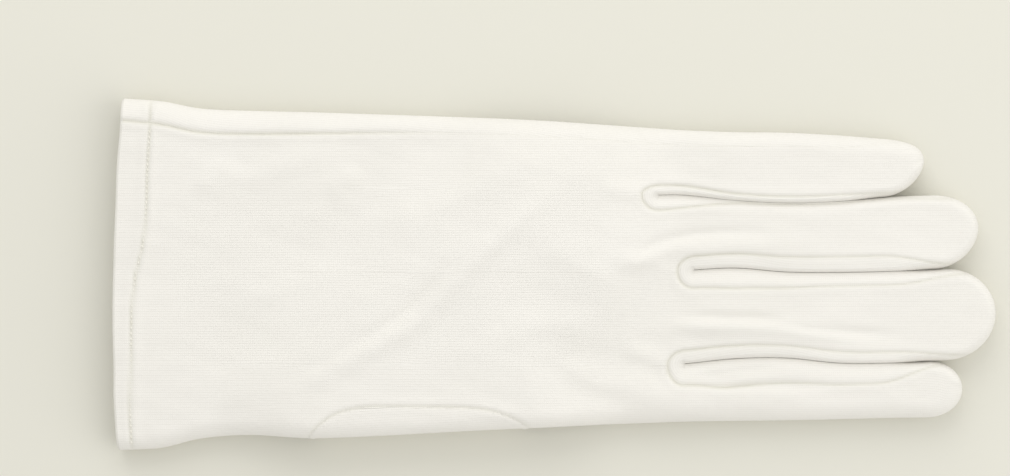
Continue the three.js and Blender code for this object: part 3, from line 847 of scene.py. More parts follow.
    def _fold_paths(self) -> list[Fold]:
        """The rows of FOLDS as curves: a parabola over each row's middle point.

        Returns:
            The folds, with rows that meet end to end joined into one.
        """
        t = np.linspace(0.0, 1.0, self.fold_points)[:, None]
        folds = []
        for row in FOLDS:
            first, over, last = (
                np.array([row[f"{name}_along"] * self.length, row[f"{name}_across"] * self.width])
                for name in ("from", "over", "to")
            )
            pull = 2 * over - (first + last) / 2
            path = (1 - t) ** 2 * first + 2 * t * (1 - t) * pull + t * t * last
            before = folds[-1] if folds else None
            if before and np.allclose(before.path[-1], path[0]):
                folds[-1] = replace(before, path=np.concatenate([before.path, path[1:]]))
            else:
                folds.append(Fold(path, row["height"] * MM, row["width"] * MM))
        return folds

    def folds(self, x: np.ndarray, y: np.ndarray) -> np.ndarray:
        """The height of all folds: a bell across each curve, dying out towards its ends.

        Args:
            x: the points' x.
            y: the points' y.

        Returns:
            The height at each point.
        """
        total = np.zeros(x.shape)
        for fold in self.fold_paths:
            away, place = nearest_on_path(fold.path, x, y)
            fade = smooth_step(place, *self.fold_taper) * smooth_step(1.0 - place, *self.fold_taper)
            total += fold.height * fade * np.exp(-((away / fold.width) ** 2))
        return total

    def hem_path(self) -> np.ndarray:
        """The row of stitches that holds the hem, across the glove near the cuff's edge.

        Returns:
            The row's points in plan.
        """
        across = np.linspace(HEM_LINE["across"][0], HEM_LINE["across"][-1], self.slot_points)
        along = read_table(HEM_LINE, "across", "along", across)
        return np.stack([along * self.length, across * self.width], axis=-1)

    def cuff_shift(self, x: np.ndarray, y: np.ndarray) -> np.ndarray:
        """How far the cuff's edge is drawn out, as bells across the hand, or in at its high end.

        Args:
            x: the points' x.
            y: the points' y.

        Returns:
            The shift of each point along x.
        """
        across = y / self.width
        wave = sum(high * np.exp(-(((across - middle) / wide) ** 2)) for high, middle, wide in CUFF_BELLS)
        depth, start = CUFF_END
        wave = wave - depth * smooth_step(across, start, 1.0)
        return -self.cuff_wave * wave * (1.0 - smooth_step(x, 0.0, self.cuff_wave_length))

    def seam_relief(
        self, seams: list[Seam], x: np.ndarray, y: np.ndarray
    ) -> tuple[np.ndarray, np.ndarray]:
        """The cloth's dip at its seams and its swelling beside them, and how deep in a seam a point is.

        Args:
            seams: the seams.
            x: the points' x.
            y: the points' y.

        Returns:
            The relief, and a share that is 1 on a seam and 0 away from it.
        """
        near, swell = np.zeros(x.shape), np.zeros(x.shape)
        for seam in seams:
            away = path_distance(seam.path, x, y)
            here = seam.strength(x)
            near = np.maximum(near, here * np.exp(-((away / self.seam_width) ** 2)))
            beside = (away - 2 * self.seam_width) / self.seam_puff_width
            swell = np.maximum(swell, here * np.exp(-(beside ** 2)))
        return self.seam_puff * swell - self.seam_depth * near, near

    def heights(
        self, x: np.ndarray, y: np.ndarray, side: np.ndarray, edge: np.ndarray
    ) -> tuple[np.ndarray, np.ndarray]:
        """The height of the cloth at points of the back (side 1) or of the palm (side -1).

        Half the thickness is scaled by the cloth's rise. The lift of the thumb below, folds, seams and a
        slight unevenness are added, and the last three fade out at the silhouette.

        Args:
            x: the points' x.
            y: the points' y.
            side: 1 on the back, -1 on the palm.
            edge: True where a point lies on the silhouette itself.

        Returns:
            The height of each point, and its share of seam.
        """
        rise = np.where(edge, 0.0, self.rise(x, y))
        half = self.thickness(x) / 2
        middle = self.lift(x, y) + half
        back_relief, back_near = self.seam_relief(self.back_seams, x, y)
        palm_relief, palm_near = self.seam_relief(self.palm_seams, x, y)
        soft = sum(height * ripple(x, y, wave, seed) for height, wave, seed in UNEVENNESS)
        back = middle + half * rise + (self.folds(x, y) + soft + back_relief) * rise
        palm = middle - half * rise - self.palm_dip_share * np.minimum(palm_relief, 0.0) * rise
        z = np.where(side > 0, back, palm)
        return z, np.where(side > 0, back_near, palm_near) * np.clip(rise, 0.0, 1.0)


def crotch_of(line: Line) -> Crotch | None:
    """The crotch on a line, or None for the glove's two outer edges."""
    return next((crotch for crotch in CROTCHES if crotch.line is line), None)


def finger_at(line: Line, high: bool) -> Finger:
    """The finger on the high or the low side of a line."""
    return next(f for f in FINGERS if (f.low if high else f.high) is line)


@dataclass
class Sheet:
    """A grid of points with its cloth coordinates and seam shares, ready to become mesh faces.

    thin scales the cloth's thickness. The thickness is also less where a row is shorter than full_row, down
    to least_full, and it changes in steps.
    """

    points: np.ndarray
    cloth: np.ndarray
    seam: np.ndarray
    thin: np.ndarray | float = 1.0
    full_row: float = 6.0 * MM
    least_full: float = 0.1
    steps: int = 20

    def fullness(self) -> np.ndarray:
        """The share of its thickness that the cloth has.

        Returns:
            The share at each point.
        """
        length = across_length(self.points)[:, -1:]
        share = np.clip(length / self.full_row, self.least_full, 1.0) * self.thin
        share = np.broadcast_to(share, self.points.shape[:2])
        return np.maximum(np.round(self.steps * share) / self.steps, 1.0 / self.steps)

    def quads(self) -> np.ndarray:
        """The grid's faces, turning left from row to column.

        Returns:
            Four places in its list of points for each face.
        """
        rows, columns = self.points.shape[:2]
        at = np.arange(rows * columns).reshape(rows, columns)
        return np.stack([at[:-1, :-1], at[1:, :-1], at[1:, 1:], at[:-1, 1:]], axis=-1).reshape(-1, 4)


def across_length(points: np.ndarray) -> np.ndarray:
    """The length of cloth from a grid's first column to each of its points, row by row."""
    steps = np.linalg.norm(np.diff(points, axis=1), axis=-1)
    return np.concatenate([np.zeros((points.shape[0], 1)), np.cumsum(steps, axis=1)], axis=1)


def welded_faces(quads: np.ndarray, faces: np.ndarray) -> tuple[list[list[int]], np.ndarray]:
    """Makes triangles of the faces that lost a corner when points were welded, and drops flat ones.

    Args:
        quads: the four places of each face in the list of points before welding.
        faces: the same in the list after it.

    Returns:
        The faces after welding, and the places of all their corners before it.
    """
    same = faces == np.roll(faces, -1, axis=1)
    whole = ~same.any(axis=1)
    once = same.sum(axis=1) == 1
    kept = np.arange(4)[None, :] != np.argmax(same[once], axis=1)[:, None]
    triangles, corners = (table[once][kept].reshape(-1, 3) for table in (faces, quads))
    real = (triangles[:, 0] != triangles[:, 1]) & (triangles[:, 1] != triangles[:, 2])
    left = faces[whole].tolist() + triangles[real].tolist()
    return left, np.concatenate([quads[whole].ravel(), corners[real].ravel()])


def mesh_object(name: str, sheets: list[Sheet], flip: bool) -> bpy.types.Object:
    """Welds grids where they meet into one mesh object with cloth coordinates and seam shares.

    Args:
        name: the object's name.
        sheets: the grids.
        flip: whether the faces have to be turned over to point outwards.

    Returns:
        The new object, in the scene.
    """
    points = np.concatenate([s.points.reshape(-1, 3) for s in sheets])
    cloth = np.concatenate([s.cloth.reshape(-1, 2) for s in sheets])
    seam = np.concatenate([s.seam.ravel() for s in sheets])
    starts = np.cumsum([0] + [s.points.shape[0] * s.points.shape[1] for s in sheets[:-1]])
    quads = np.concatenate([s.quads() + start for s, start in zip(sheets, starts)])
    keys = np.round(points / WELD).astype(np.int64)
    _, first, inverse = np.unique(keys, axis=0, return_index=True, return_inverse=True)
    inverse = inverse.reshape(-1)
    if flip:
        quads = quads[:, ::-1]
    faces, corners = welded_faces(quads, inverse[quads])
    mesh = bpy.data.meshes.new(name)
    mesh.from_pydata(points[first].tolist(), [], faces)
    uv = mesh.uv_layers.new(name="cloth")
    uv.data.foreach_set("uv", cloth[corners].astype(np.float32).ravel())
    shares = mesh.attributes.new("seam", "FLOAT", "POINT")
    shares.data.foreach_set("value", seam[first].astype(np.float32))
    mesh.polygons.foreach_set("use_smooth", np.ones(len(mesh.polygons), bool))
    used = np.empty(len(mesh.loops), np.int32)
    mesh.loops.foreach_get("edge_index", used)
    mesh.edges.foreach_set("use_edge_sharp", np.bincount(used, minlength=len(mesh.edges)) == 1)
    mesh.update()
    piece = bpy.data.objects.new(name, mesh)
    full = np.concatenate([s.fullness().ravel() for s in sheets])[first]
    group = piece.vertex_groups.new(name="fullness")
    for share in np.unique(full):
        group.add(np.flatnonzero(full == share).tolist(), float(share), "REPLACE")
    bpy.context.scene.collection.objects.link(piece)
    return piece


@dataclass
class ClothPiece:
    """What the glove's sewn pieces share: their glove, and how they get their thickness and finish."""

    glove: Glove
    row_step: float = 0.9 * MM

    def sheet(
        self, x: np.ndarray, y: np.ndarray, side: np.ndarray, edge: np.ndarray, along: np.ndarray
    ) -> Sheet:
        """A grid of points in plan raised to the cloth's height.

        Args:
            x: the points' x.
            y: the points' y.
            side: 1 on the back, -1 on the palm.
            edge: True on the silhouette.
            along: the cloth coordinate along the piece.

        Returns:
            The grid.
        """
        z, seam = self.glove.heights(x, y, side, edge)
        points = np.stack([x + self.glove.cuff_shift(x, y), y, z], axis=-1) + self.glove.origin
        across = across_length(points)
        middle = points.shape[1] // 2
        across = across - across[:, middle:middle + 1] + y[:, middle:middle + 1]
        return Sheet(points, np.stack([along, across], axis=-1), seam)

    def finish(
        self, piece: bpy.types.Object, node: str, slot: str, material: bpy.types.Material
    ) -> bpy.types.Object:
        """Gives a piece its cloth's thickness and its finish, and puts it in its CAD node's place.

        Args:
            piece: the piece.
            node: the CAD node that it stands for.
            slot: the record's material slot; not used.
            material: its finish.

        Returns:
            The piece.
        """
        thick = piece.modifiers.new("cloth", "SOLIDIFY")
        thick.thickness = self.glove.cloth
        thick.offset = -1.0
        thick.use_even_offset = False
        thick.vertex_group = "fullness"
        piece.data.materials.append(material)
        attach(piece, "root")
        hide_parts(node)
        return piece


@dataclass
class Panel(ClothPiece):
    """The back or the palm of the glove: four strips, one for each finger, joined over the hand.

    hand_pull and tip_pull are how far a strip's columns are drawn to its sides on the hand and on a tip. The
    shared rows end past_parting beyond the last parting. An even row that is nearer to a loop's row than the
    share clear_rows of a step is left out. tuck_share is a share of the cloth's thickness, and tuck_fade
    holds how far inside the thumb's patch the tuck starts and is full.
    """

    face: Face = Face.BACK
    column_count: int = 30
    wrap_columns: int = 12
    loop_rows: int = 12
    cap_cells: int = 22
    clear_rows: float = 0.4
    past_parting: float = 2.0 * MM
    hand_pull: float = 0.35
    tip_pull: float = 0.95
    tuck_share: float = 1.2
    tuck_fade: tuple[float, float] = (0.6 * MM, 1.5 * MM)

    def shared_rows(self) -> np.ndarray:
        """Rows that all strips share, closer together at the loop of each fourchette.

        Returns:
            The rows' x.
        """
        g = self.glove
        last = max(g.parting(crotch) for crotch in CROTCHES) + self.past_parting
        turn = np.linspace(0.0, math.pi / 2, self.loop_rows)
        loops = [g.parting(crotch) - g.loop_reach * np.cos(turn) for crotch in CROTCHES]
        fixed = np.sort(np.concatenate([[0.0], *loops]))
        even = np.linspace(0.0, last, int(last / self.row_step) + 1)
        near = np.min(np.abs(even[:, None] - fixed[None, :]), axis=1)
        return np.sort(np.concatenate([fixed, even[near > self.clear_rows * self.row_step]]))

    def strip_side(
        self, finger: Finger, high: bool, rows: np.ndarray, edge_y: np.ndarray
    ) -> tuple[np.ndarray, np.ndarray | None]:
        """Where a finger's strip starts on one side, before the columns that wrap round the glove's edge.

        Args:
            finger: the finger.
            high: whether its side nearer the little finger is meant.
            rows: places along the glove.
            edge_y: the silhouette's y on that side.

        Returns:
            The strip's y, and the inset of its seam on the other layer where it wraps, or None.
        """
        g = self.glove
        line = finger.high if high else finger.low
        inward = -1.0 if high else 1.0
        crotch = crotch_of(line)
        if crotch:
            seam_y = g.line(line, rows) + inward * g.slot_half(crotch, not high, rows)
            return np.where(rows >= g.seam_end(finger) - NOTHING, edge_y, seam_y), None
        inset = g.side_inset(rows) if high else g.under_inset(rows)
        if high == (self.face is Face.BACK):
            return edge_y + inward * inset, None
        return edge_y + inward * g.seam_inset(finger, rows, g.edge_radius), inset

    def strip(self, finger: Finger, rows: np.ndarray) -> Sheet:
        """One finger's strip of cloth, from seam to seam, and round the glove's edge where it wraps.

        Across the strip, the columns are spread between even and cosine spacing, closer to its two sides
        on the rounded tip.

        Args:
            finger: the finger.
            rows: places along the glove.

        Returns:
            The strip's grid.
        """
        g = self.glove
        edges = g.finger_sides(finger, rows)
        low, low_wrap = self.strip_side(finger, False, rows, edges[0])
        high, high_wrap = self.strip_side(finger, True, rows, edges[1])
        start, _ = g.cap_range(finger)
        tip = smooth_step(rows, start - g.edge_radius, g.seam_end(finger))[:, None]
        pull = self.hand_pull + (self.tip_pull - self.hand_pull) * tip
        share = drawn_apart(np.linspace(0.0, 1.0, self.column_count + 1)[None, :], pull)
        y = low[:, None] + share * (high - low)[:, None]
        side = np.full(y.shape, float(self.face.value))
        edge = np.zeros(y.shape, bool)
        edge[:, [0, -1]] = (rows >= g.seam_end(finger) - NOTHING)[:, None]
        layers = [y, side, edge]
        for step, edge_y, first, inset in ((1, edges[0], low, low_wrap), (-1, edges[1], high, high_wrap)):
            if inset is not None:
                layers = self.wrapped(edge_y, first, inset, *(layer[:, ::step] for layer in layers))
                layers = [layer[:, ::step] for layer in layers]
        y, side, edge = layers
        edge[-1] = True
        x = np.repeat(rows[:, None], y.shape[1], axis=1)
        sheet = self.sheet(x, y, side, edge, x)
        if self.face is Face.BACK:
            sheet.points += self.tuck(x, y, side)
        return sheet

    def tuck(self, x: np.ndarray, y: np.ndarray, side: np.ndarray) -> np.ndarray:
        """How far the back is drawn in where the thumb's patch lies over it, down to the patch's cloth.

        Args:
            x: the points' x.
            y: the points' y.
            side: 1 on the back, -1 on the palm.

        Returns:
            The shift of each point, inward from the rounded edge.
        """
        g = self.glove
        from_edge = np.abs(y - g.line(Line.INDEX_EDGE, x))
        from_end = np.minimum(x - g.thumb_seam_start, g.thumb_seam_start + g.thumb_seam_length - x)
        inside = np.minimum(np.where(side > 0, g.arc_inset(x) - from_edge, from_end), from_end)
        depth = self.tuck_share * g.cloth * smooth_step(inside, *self.tuck_fade)
        slope = 1.0 - np.clip(from_edge / g.edge_radius, 0.0, 1.0)
        down = -side * depth * np.sqrt(1.0 - slope ** 2)
        return np.stack([np.zeros(x.shape), depth * slope, down], axis=-1)

    def wrapped(
        self,
        edge_y: np.ndarray,
        start_y: np.ndarray,
        inset: np.ndarray,
        y: np.ndarray,
        side: np.ndarray,
        edge: np.ndarray,
    ) -> tuple[np.ndarray, np.ndarray, np.ndarray]:
        """Adds columns before a strip's first: from the seam on the other layer round the glove's edge.

        On either side of the edge a column's inset is the seam's or the start's times t squared.

        Args:
            edge_y: the silhouette's y.
            start_y: the strip's first y.
            inset: the seam's inset on the other layer.
            y: the strip's y.
            side: the strip's layers.
            edge: the strip's silhouette flags.

        Returns:
            The longer y, side and edge.
        """
        way = float(self.face.value)
        half = self.wrap_columns
        t = np.linspace(1.0, 0.0, half + 1)
        inward = 1.0 if edge_y.mean() < y.mean() else -1.0
        under = edge_y[:, None] + inward * inset[:, None] * (t * t)[None, :]
        over = edge_y[:, None] + (start_y - edge_y)[:, None] * (t[::-1][1:-1] ** 2)[None, :]
        added = np.concatenate([under, over], axis=1)
        added_side = np.concatenate([np.full(under.shape, -way), np.full(over.shape, way)], axis=1)
        added_edge = np.abs(added - edge_y[:, None]) < NOTHING
        added_edge[:, half] = True
        return (
            np.concatenate([added, y], axis=1),
            np.concatenate([added_side, side], axis=1),
            np.concatenate([added_edge, edge], axis=1),
        )

    def build(self, node: str, material: bpy.types.Material) -> bpy.types.Object:
        """Makes the panel's mesh and dresses it.

        Args:
            node: the CAD node that it stands for.
            material: its finish.

        Returns:
            The panel.
        """
        shared = self.shared_rows()
        sheets = []
        for finger in FINGERS:
            start, _ = self.glove.cap_range(finger)
            count = int((start - shared[-1]) / self.row_step)
            own = np.linspace(shared[-1], start, count + 1)[1:]
            tip = self.glove.cap_rows(finger, self.cap_cells)
            rows = np.unique(np.concatenate([shared, own, tip, [self.glove.seam_end(finger)]]))
            sheets.append(self.strip(finger, rows))
        return self.finish(mesh_object(node, sheets, self.face is Face.PALM), node, "white_knit", material)


@dataclass
class Fourchette(ClothPiece):
    """The hairpin strip between two fingers, from its seam on the back round the edge to the palm's."""

    crotch: Crotch = CROTCHES[0]
    half_columns: int = 11
    loop_cells: int = 26

    def build(self, material: bpy.types.Material) -> bpy.types.Object:
        """Makes the strip: in plan a point is the edge's plus t squared of the way to the seam's.

        Args:
            material: its finish.

        Returns:
            The strip.
        """
        g = self.glove
        centre = g.parting(self.crotch)
        radius, reach = g.half_gap, g.loop_reach
        runs = []
        for high in (False, True):
            finger = finger_at(self.crotch.line, high)
            end = g.seam_end(finger)
            x = np.linspace(centre, end, int((end - centre) / self.row_step))
            edge_y = g.finger_sides(finger, x)[0 if high else 1]
            way = 1.0 if high else -1.0
            seam_y = g.line(self.crotch.line, x) + way * g.slot_half(self.crotch, high, x)
            runs.append(np.stack([x, edge_y, x, seam_y], axis=-1))
        angle = np.linspace(-math.pi / 2, math.pi / 2, self.loop_cells + 1)[1:-1]
        middle_edge = g.line(self.crotch.line, centre - radius * np.cos(angle))
        middle_seam = g.line(self.crotch.line, centre - reach * np.cos(angle))
        ahead = np.full(angle.shape, centre - radius)
        shown = [g.strip_shown(self.crotch, high, ahead) for high in (False, True)]
        full = radius + np.where(angle > 0, shown[1], shown[0])
        loop = np.stack(
            [
                centre - radius * np.cos(angle),
                middle_edge + radius * np.sin(angle),
                centre - reach * np.cos(angle),
                middle_seam + full * np.sin(angle),
            ],
            axis=-1,
        )
        path = np.concatenate([runs[0][::-1], loop, runs[1]])
        t = np.linspace(-1.0, 1.0, 2 * self.half_columns + 1)
        weight = (t * t)[None, :]
        x = path[:, 0:1] + (path[:, 2:3] - path[:, 0:1]) * weight
        y = path[:, 1:2] + (path[:, 3:4] - path[:, 1:2]) * weight
        side = np.repeat(np.where(t < 0, 1.0, -1.0)[None, :], len(path), axis=0)
        edge = np.repeat((t == 0)[None, :], len(path), axis=0)
        steps = np.linalg.norm(np.diff(path[:, 2:4], axis=0), axis=1)
        along = np.concatenate([[0.0], np.cumsum(steps)])
        sheet = self.sheet(x, y, side, edge, np.repeat(along[:, None], x.shape[1], axis=1))
        node = self.crotch.node
        return self.finish(mesh_object(node, [sheet], True), node, "white_knit", material)


@dataclass
class Thumb(ClothPiece):
    """The thumb piece: from its arc on the back round the hand's edge and folded under the palm.

    pull is how far its columns are drawn to its two sides. At the ends of its root the cloth's share is
    end_full and grows over end_length. The inner layer starts inner_share of the cloth inside the outer one,
    which it reaches over inner_length at the root's ends.
    """

    across_cells: int = 60
    top_cells: int = 22
    edge_cells: int = 14
    body_cells: int = 70
    cap_cells: int = 16
    pull: float = 0.6
    end_full: float = 0.1
    end_length: float = 1.6 * MM
    inner_share: float = 1.1
    inner_length: float = 3.0 * MM
    wrinkle_height: float = 0.25 * MM
    wrinkle_wave: float = 16.0 * MM
    wrinkle_seed: int = 11

    def build(self, material: bpy.types.Material) -> bpy.types.Object:
        """Makes the thumb's outer sheet, and the sheet of its tube that lies against the palm.

        Args:
            material: its finish.

        Returns:
            The thumb.
        """
        outer = self.outer_sheet()
        sheets = [outer, self.inner_sheet(outer)]
        return self.finish(mesh_object("thumb", sheets, False), "thumb", "white_knit", material)

    def places(self) -> np.ndarray:
        """Places across the thumb, from 0 on the cuff's side to 1."""
        return drawn_apart(np.linspace(0.0, 1.0, self.across_cells + 1), self.pull)

    def body(self) -> tuple[np.ndarray, np.ndarray]:
        """The plan of the folded thumb: points on its sections.

        Returns:
            The points' x and y, a row for each section.
        """
        sections = self.glove.thumb_sections(self.body_cells, self.cap_cells)
        reach = (2.0 * self.places() - 1.0)[None, :] * sections["half"][:, None]
        x = sections["x"][:, None] + reach * np.cos(sections["turn"])[:, None]
        y = sections["y"][:, None] - reach * np.sin(sections["turn"])[:, None]
        return x, y

    def side_rise(self, x: np.ndarray, y: np.ndarray) -> np.ndarray:
        """How far the tube's cloth has risen from its own side: a quarter of a circle, then flat.

        Args:
            x: the points' x.
            y: the points' y.

        Returns:
            The rise at each point, from 0 to 1.
        """
        outline = self.glove.thumb_outline[1:]
        half = len(outline) // 2
        paths = [outline[:half], outline[half:-1]]
        away = np.min([path_distance(path, x, y) for path in paths], axis=0)
        return round_rise(away / (self.glove.thumb_thickness / 2))

    def near_end(self, length: float) -> np.ndarray:
        """A rise over a length from both ends of the thumb's root, at each place across."""
        u = self.places()
        return smooth_step(np.minimum(u, 1.0 - u) * self.glove.thumb_seam_length, 0.0, length)

    def thin(self, rows: np.ndarray) -> np.ndarray:
        """How full the cloth is: less at the root's ends, where its layers come together.

        Args:
            rows: True for each row of the root.

        Returns:
            The share at each point.
        """
        full = self.end_full + (1.0 - self.end_full) * self.near_end(self.end_length)
        return np.where(rows[:, None], full[None, :], 1.0)

    def outer_sheet(self) -> Sheet:
        """From the arc on the back, round the hand's edge, and along the underside to the tip.

        Between the seam, the edge and the tube a point in plan goes t squared of the way. Below the edge the
        cloth turns in along the hand's own round edge, and then along the tube's.

        Returns:
            The layer's grid.
        """
        g = self.glove
        edge_x = g.thumb_seam_start + g.thumb_seam_length * self.places()
        edge_y = g.line(Line.INDEX_EDGE, edge_x)
        body_x, body_y = self.body()
        t_top = np.linspace(1.0, 0.0, self.top_cells + 1)[:, None]
        top_x = np.repeat(edge_x[None, :], self.top_cells + 1, axis=0)
        top_y = edge_y[None, :] + g.arc_inset(edge_x)[None, :] * t_top ** 2
        t_low = np.linspace(0.0, 1.0, self.edge_cells + 1)[1:-1, None]
        low_x = edge_x[None, :] + (body_x[0] - edge_x)[None, :] * t_low ** 2
        low_y = edge_y[None, :] + (body_y[0] - edge_y)[None, :] * t_low ** 2
        x = np.concatenate([top_x, low_x, body_x])
        y = np.concatenate([top_y, low_y, body_y])
        on_edge = np.zeros(x.shape, bool)
        on_edge[self.top_cells] = True
        on_edge[: self.top_cells + 1] |= np.abs(top_y - edge_y[None, :]) < NOTHING
        z_back, seam = g.heights(x, y, np.ones(x.shape), on_edge)
        distance = np.where(on_edge, 0.0, np.abs(y - g.line(Line.INDEX_EDGE, x)))
        q = np.clip(distance / g.edge_radius, 0.0, 1.0)
        middle = g.lift(x, y) + g.thickness(x) / 2
        under = middle * (1.0 - round_rise(q))
        curl = np.zeros(x.shape)
        curl[self.top_cells + 1:] = 1.0
        tube = self.top_cells + self.edge_cells
        curl[self.top_cells:tube] = np.linspace(0.0, 1.0, self.edge_cells)[:, None]
        side = self.side_rise(x, y)
        side[self.top_cells:, [0, -1]] = 0.0
        side[-1] = 0.0
        uneven = np.clip(ripple(x, y, self.wrinkle_wave, self.wrinkle_seed), 0.0, None)
        wrinkle = self.wrinkle_height * uneven * side * q
        under = under + (g.thumb_thickness / 2 * (1.0 - side)) * curl + wrinkle
        rows = np.arange(len(x))
        on_top = (rows <= self.top_cells)[:, None]
        z = np.where(on_top, z_back, under)
        points = np.stack([x, y, z], axis=-1) + g.origin
        steps = np.linalg.norm(np.diff(points, axis=0), axis=-1)
        along = np.concatenate([np.zeros((1, x.shape[1])), np.cumsum(steps, axis=0)])
        along = along - along[self.top_cells]
        cloth = np.stack([np.repeat(edge_x[None, :], len(x), axis=0), along], axis=-1)
        return Sheet(points, cloth, seam * on_top, self.thin(rows < tube))

    def inner_sheet(self, outer: Sheet) -> Sheet:
        """The layer of the folded thumb that lies against the palm, closed to the outer one at its root.

        Args:
            outer: the outer sheet, whose rows between the hand's edge and the tube it follows.

        Returns:
            The layer's grid.
        """
        g = self.glove
        x, y = self.body()
        side = self.side_rise(x, y)
        side[:, [0, -1]] = 0.0
        side[-1] = 0.0
        z = g.thumb_thickness / 2 * (1.0 + side)
        points = np.stack([x, y, z], axis=-1) + g.origin
        tube = self.top_cells + self.edge_cells
        root = outer.points[self.top_cells + 1:tube].copy()
        way = np.linspace(0.0, 1.0, len(root) + 1)[:-1, None]
        opened = way ** 2
        inside = self.inner_share * g.cloth * self.near_end(self.inner_length)[None, :]
        root[..., 1] += inside * (1.0 - way)
        root[..., 2] += inside * way * (1.0 - opened)
        root[..., 2] += opened * (points[0, :, 2] - outer.points[tube, :, 2])
        points = np.concatenate([root, points])
        cloth = points[..., :2] - g.origin[:2]
        thin = self.thin(np.arange(len(points)) < len(root))
        return Sheet(points[:, ::-1], cloth[:, ::-1], np.zeros(points.shape[:2]), thin[:, ::-1])


@dataclass
class CuffHem(ClothPiece):
    """The hem: the cloth folded in at the cuff's edge, and the layer that lies inside it.

    turn_rings and depth_rings are the counts of rings on its half round and along its depth. Its cloth
    coordinate runs over cloth_share of the hem's width, as the half round is part of it.
    """

    around_cells: int = 260
    turn_rings: int = 15
    depth_rings: int = 9
    cloth_share: float = 1.3
    fold_radius: float = 0.75 * MM
    inset: float = 1.25 * MM

    def ring(self, x: float, inset: float) -> np.ndarray:
        """The cuff's loop at x, drawn in by inset: round both edges and flat between, as one closed path.

        Args:
            x: the place along the glove.
            inset: how far it is drawn in from the outside of the cloth.

        Returns:
            The loop's points, the last on the first.
        """
        g = self.glove
        half = self.around_cells // 2
        share = drawn_apart(np.linspace(0.0, 1.0, half + 1), 0.5)
        low = float(g.line(Line.INDEX_EDGE, x))
        high = float(g.line(Line.LITTLE_EDGE, x))
        y = low + share * (high - low)
        edge = (share < NOTHING) | (share > 1 - NOTHING)
        xs = np.full(y.shape, x)
        loops = []
        for side in (1.0, -1.0):
            z, _ = g.heights(xs, y, np.full(y.shape, side), edge)
            loops.append(np.stack([xs, y, z], axis=-1))
        loop = np.concatenate([loops[0], loops[1][::-1][1:]])
        ahead = np.roll(loop[:-1], -1, axis=0) - np.roll(loop[:-1], 1, axis=0)
        ahead /= np.linalg.norm(ahead, axis=1, keepdims=True)
        inward = np.stack([np.zeros(len(ahead)), ahead[:, 2], -ahead[:, 1]], axis=-1)
        inward = np.concatenate([inward, inward[:1]])
        return loop + inset * inward

    def build(self, material: bpy.types.Material) -> bpy.types.Object:
        """Makes the hem: a half round at the cuff's edge, then a layer inside it.

        Args:
            material: its finish.

        Returns:
            The hem.
        """
        g = self.glove
        rings = []
        for angle in np.linspace(0.0, math.pi, self.turn_rings):
            ring = self.ring(0.0, self.inset * (1.0 - math.cos(angle)) / 2)
            ring[:, 0] = -self.fold_radius * math.sin(angle)
            rings.append(ring)
        for x in np.linspace(0.0, g.hem_width, self.depth_rings)[1:]:
            rings.append(self.ring(float(x), self.inset))
        points = np.stack(rings)
        points[..., 0] += g.cuff_shift(points[..., 0], points[..., 1])
        points = points + g.origin
        depth = np.linspace(0.0, self.cloth_share * g.hem_width, len(points))
        along = np.repeat(depth[:, None], points.shape[1], axis=1)
        cloth = np.stack([along, across_length(points)], axis=-1)
        sheet = Sheet(points, cloth, np.zeros(points.shape[:2]))
        return self.finish(mesh_object("cuff_hem", [sheet], True), "cuff_hem", "hem_knit", material)


@dataclass
class HemStitches(ClothPiece):
    """The row of small thread stitches that holds the hem, on both layers of the cuff."""

    pitch: float = 1.55 * MM
    stitch_length: float = 0.95 * MM
    stitch_width: float = 0.65 * MM
    stitch_height: float = 0.34 * MM
    palm_sink: float = 0.25 * MM
    polar_points: int = 9
    turn_points: int = 13

    def build(self, material: bpy.types.Material) -> bpy.types.Object:
        """Makes the stitches: each is an ellipsoid that lies half sunk in the cloth along the row.

        Args:
            material: their finish.

        Returns:
            The row of stitches.
        """
        g = self.glove
        low, high = g.line(Line.INDEX_EDGE, 0.0), g.line(Line.LITTLE_EDGE, 0.0)
        inset = g.edge_radius / 2
        y = np.arange(float(low) + inset, float(high) - inset, self.pitch)
        x = g.length * read_table(HEM_LINE, "across", "along", y / g.width)
        polar = np.linspace(0.0, math.pi, self.polar_points)
        polar, turn = np.meshgrid(polar, np.linspace(0.0, 2 * math.pi, self.turn_points), indexing="ij")
        sheets = []
        for side in (1.0, -1.0):
            keep = np.abs(y - low) > self.pitch
            if side > 0:
                keep = np.abs(y - high) > g.side_inset(x) + self.pitch
            z, _ = g.heights(x, y, np.full(y.shape, side), np.zeros(y.shape, bool))
            z = z + (self.palm_sink if side < 0 else 0.0)
            for at in np.flatnonzero(keep):
                points = np.stack(
                    [
                        x[at] + self.stitch_width / 2 * np.sin(polar) * np.sin(turn) * side,
                        y[at] + self.stitch_length / 2 * np.cos(polar) * np.ones_like(turn),
                        z[at] + self.stitch_height * np.sin(polar) * np.cos(turn) * side,
                    ],
                    axis=-1,
                )
                points[..., 0] += g.cuff_shift(x[at], y[at])
                sheets.append(Sheet(points + g.origin, points[..., :2], np.zeros(polar.shape)))
        piece = mesh_object("hem_stitches", sheets, False)
        piece.data.materials.append(material)
        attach(piece, "root")
        return piece


def new_material(name: str, roughness: float) -> bpy.types.Material:
    """Makes a material with nodes.

    Args:
        name: its name.
        roughness: its roughness.

    Returns:
        The material.
    """
    material = bpy.data.materials.new(name)
    material.use_nodes = True
    material.node_tree.nodes["Principled BSDF"].inputs["Roughness"].default_value = roughness
    return material


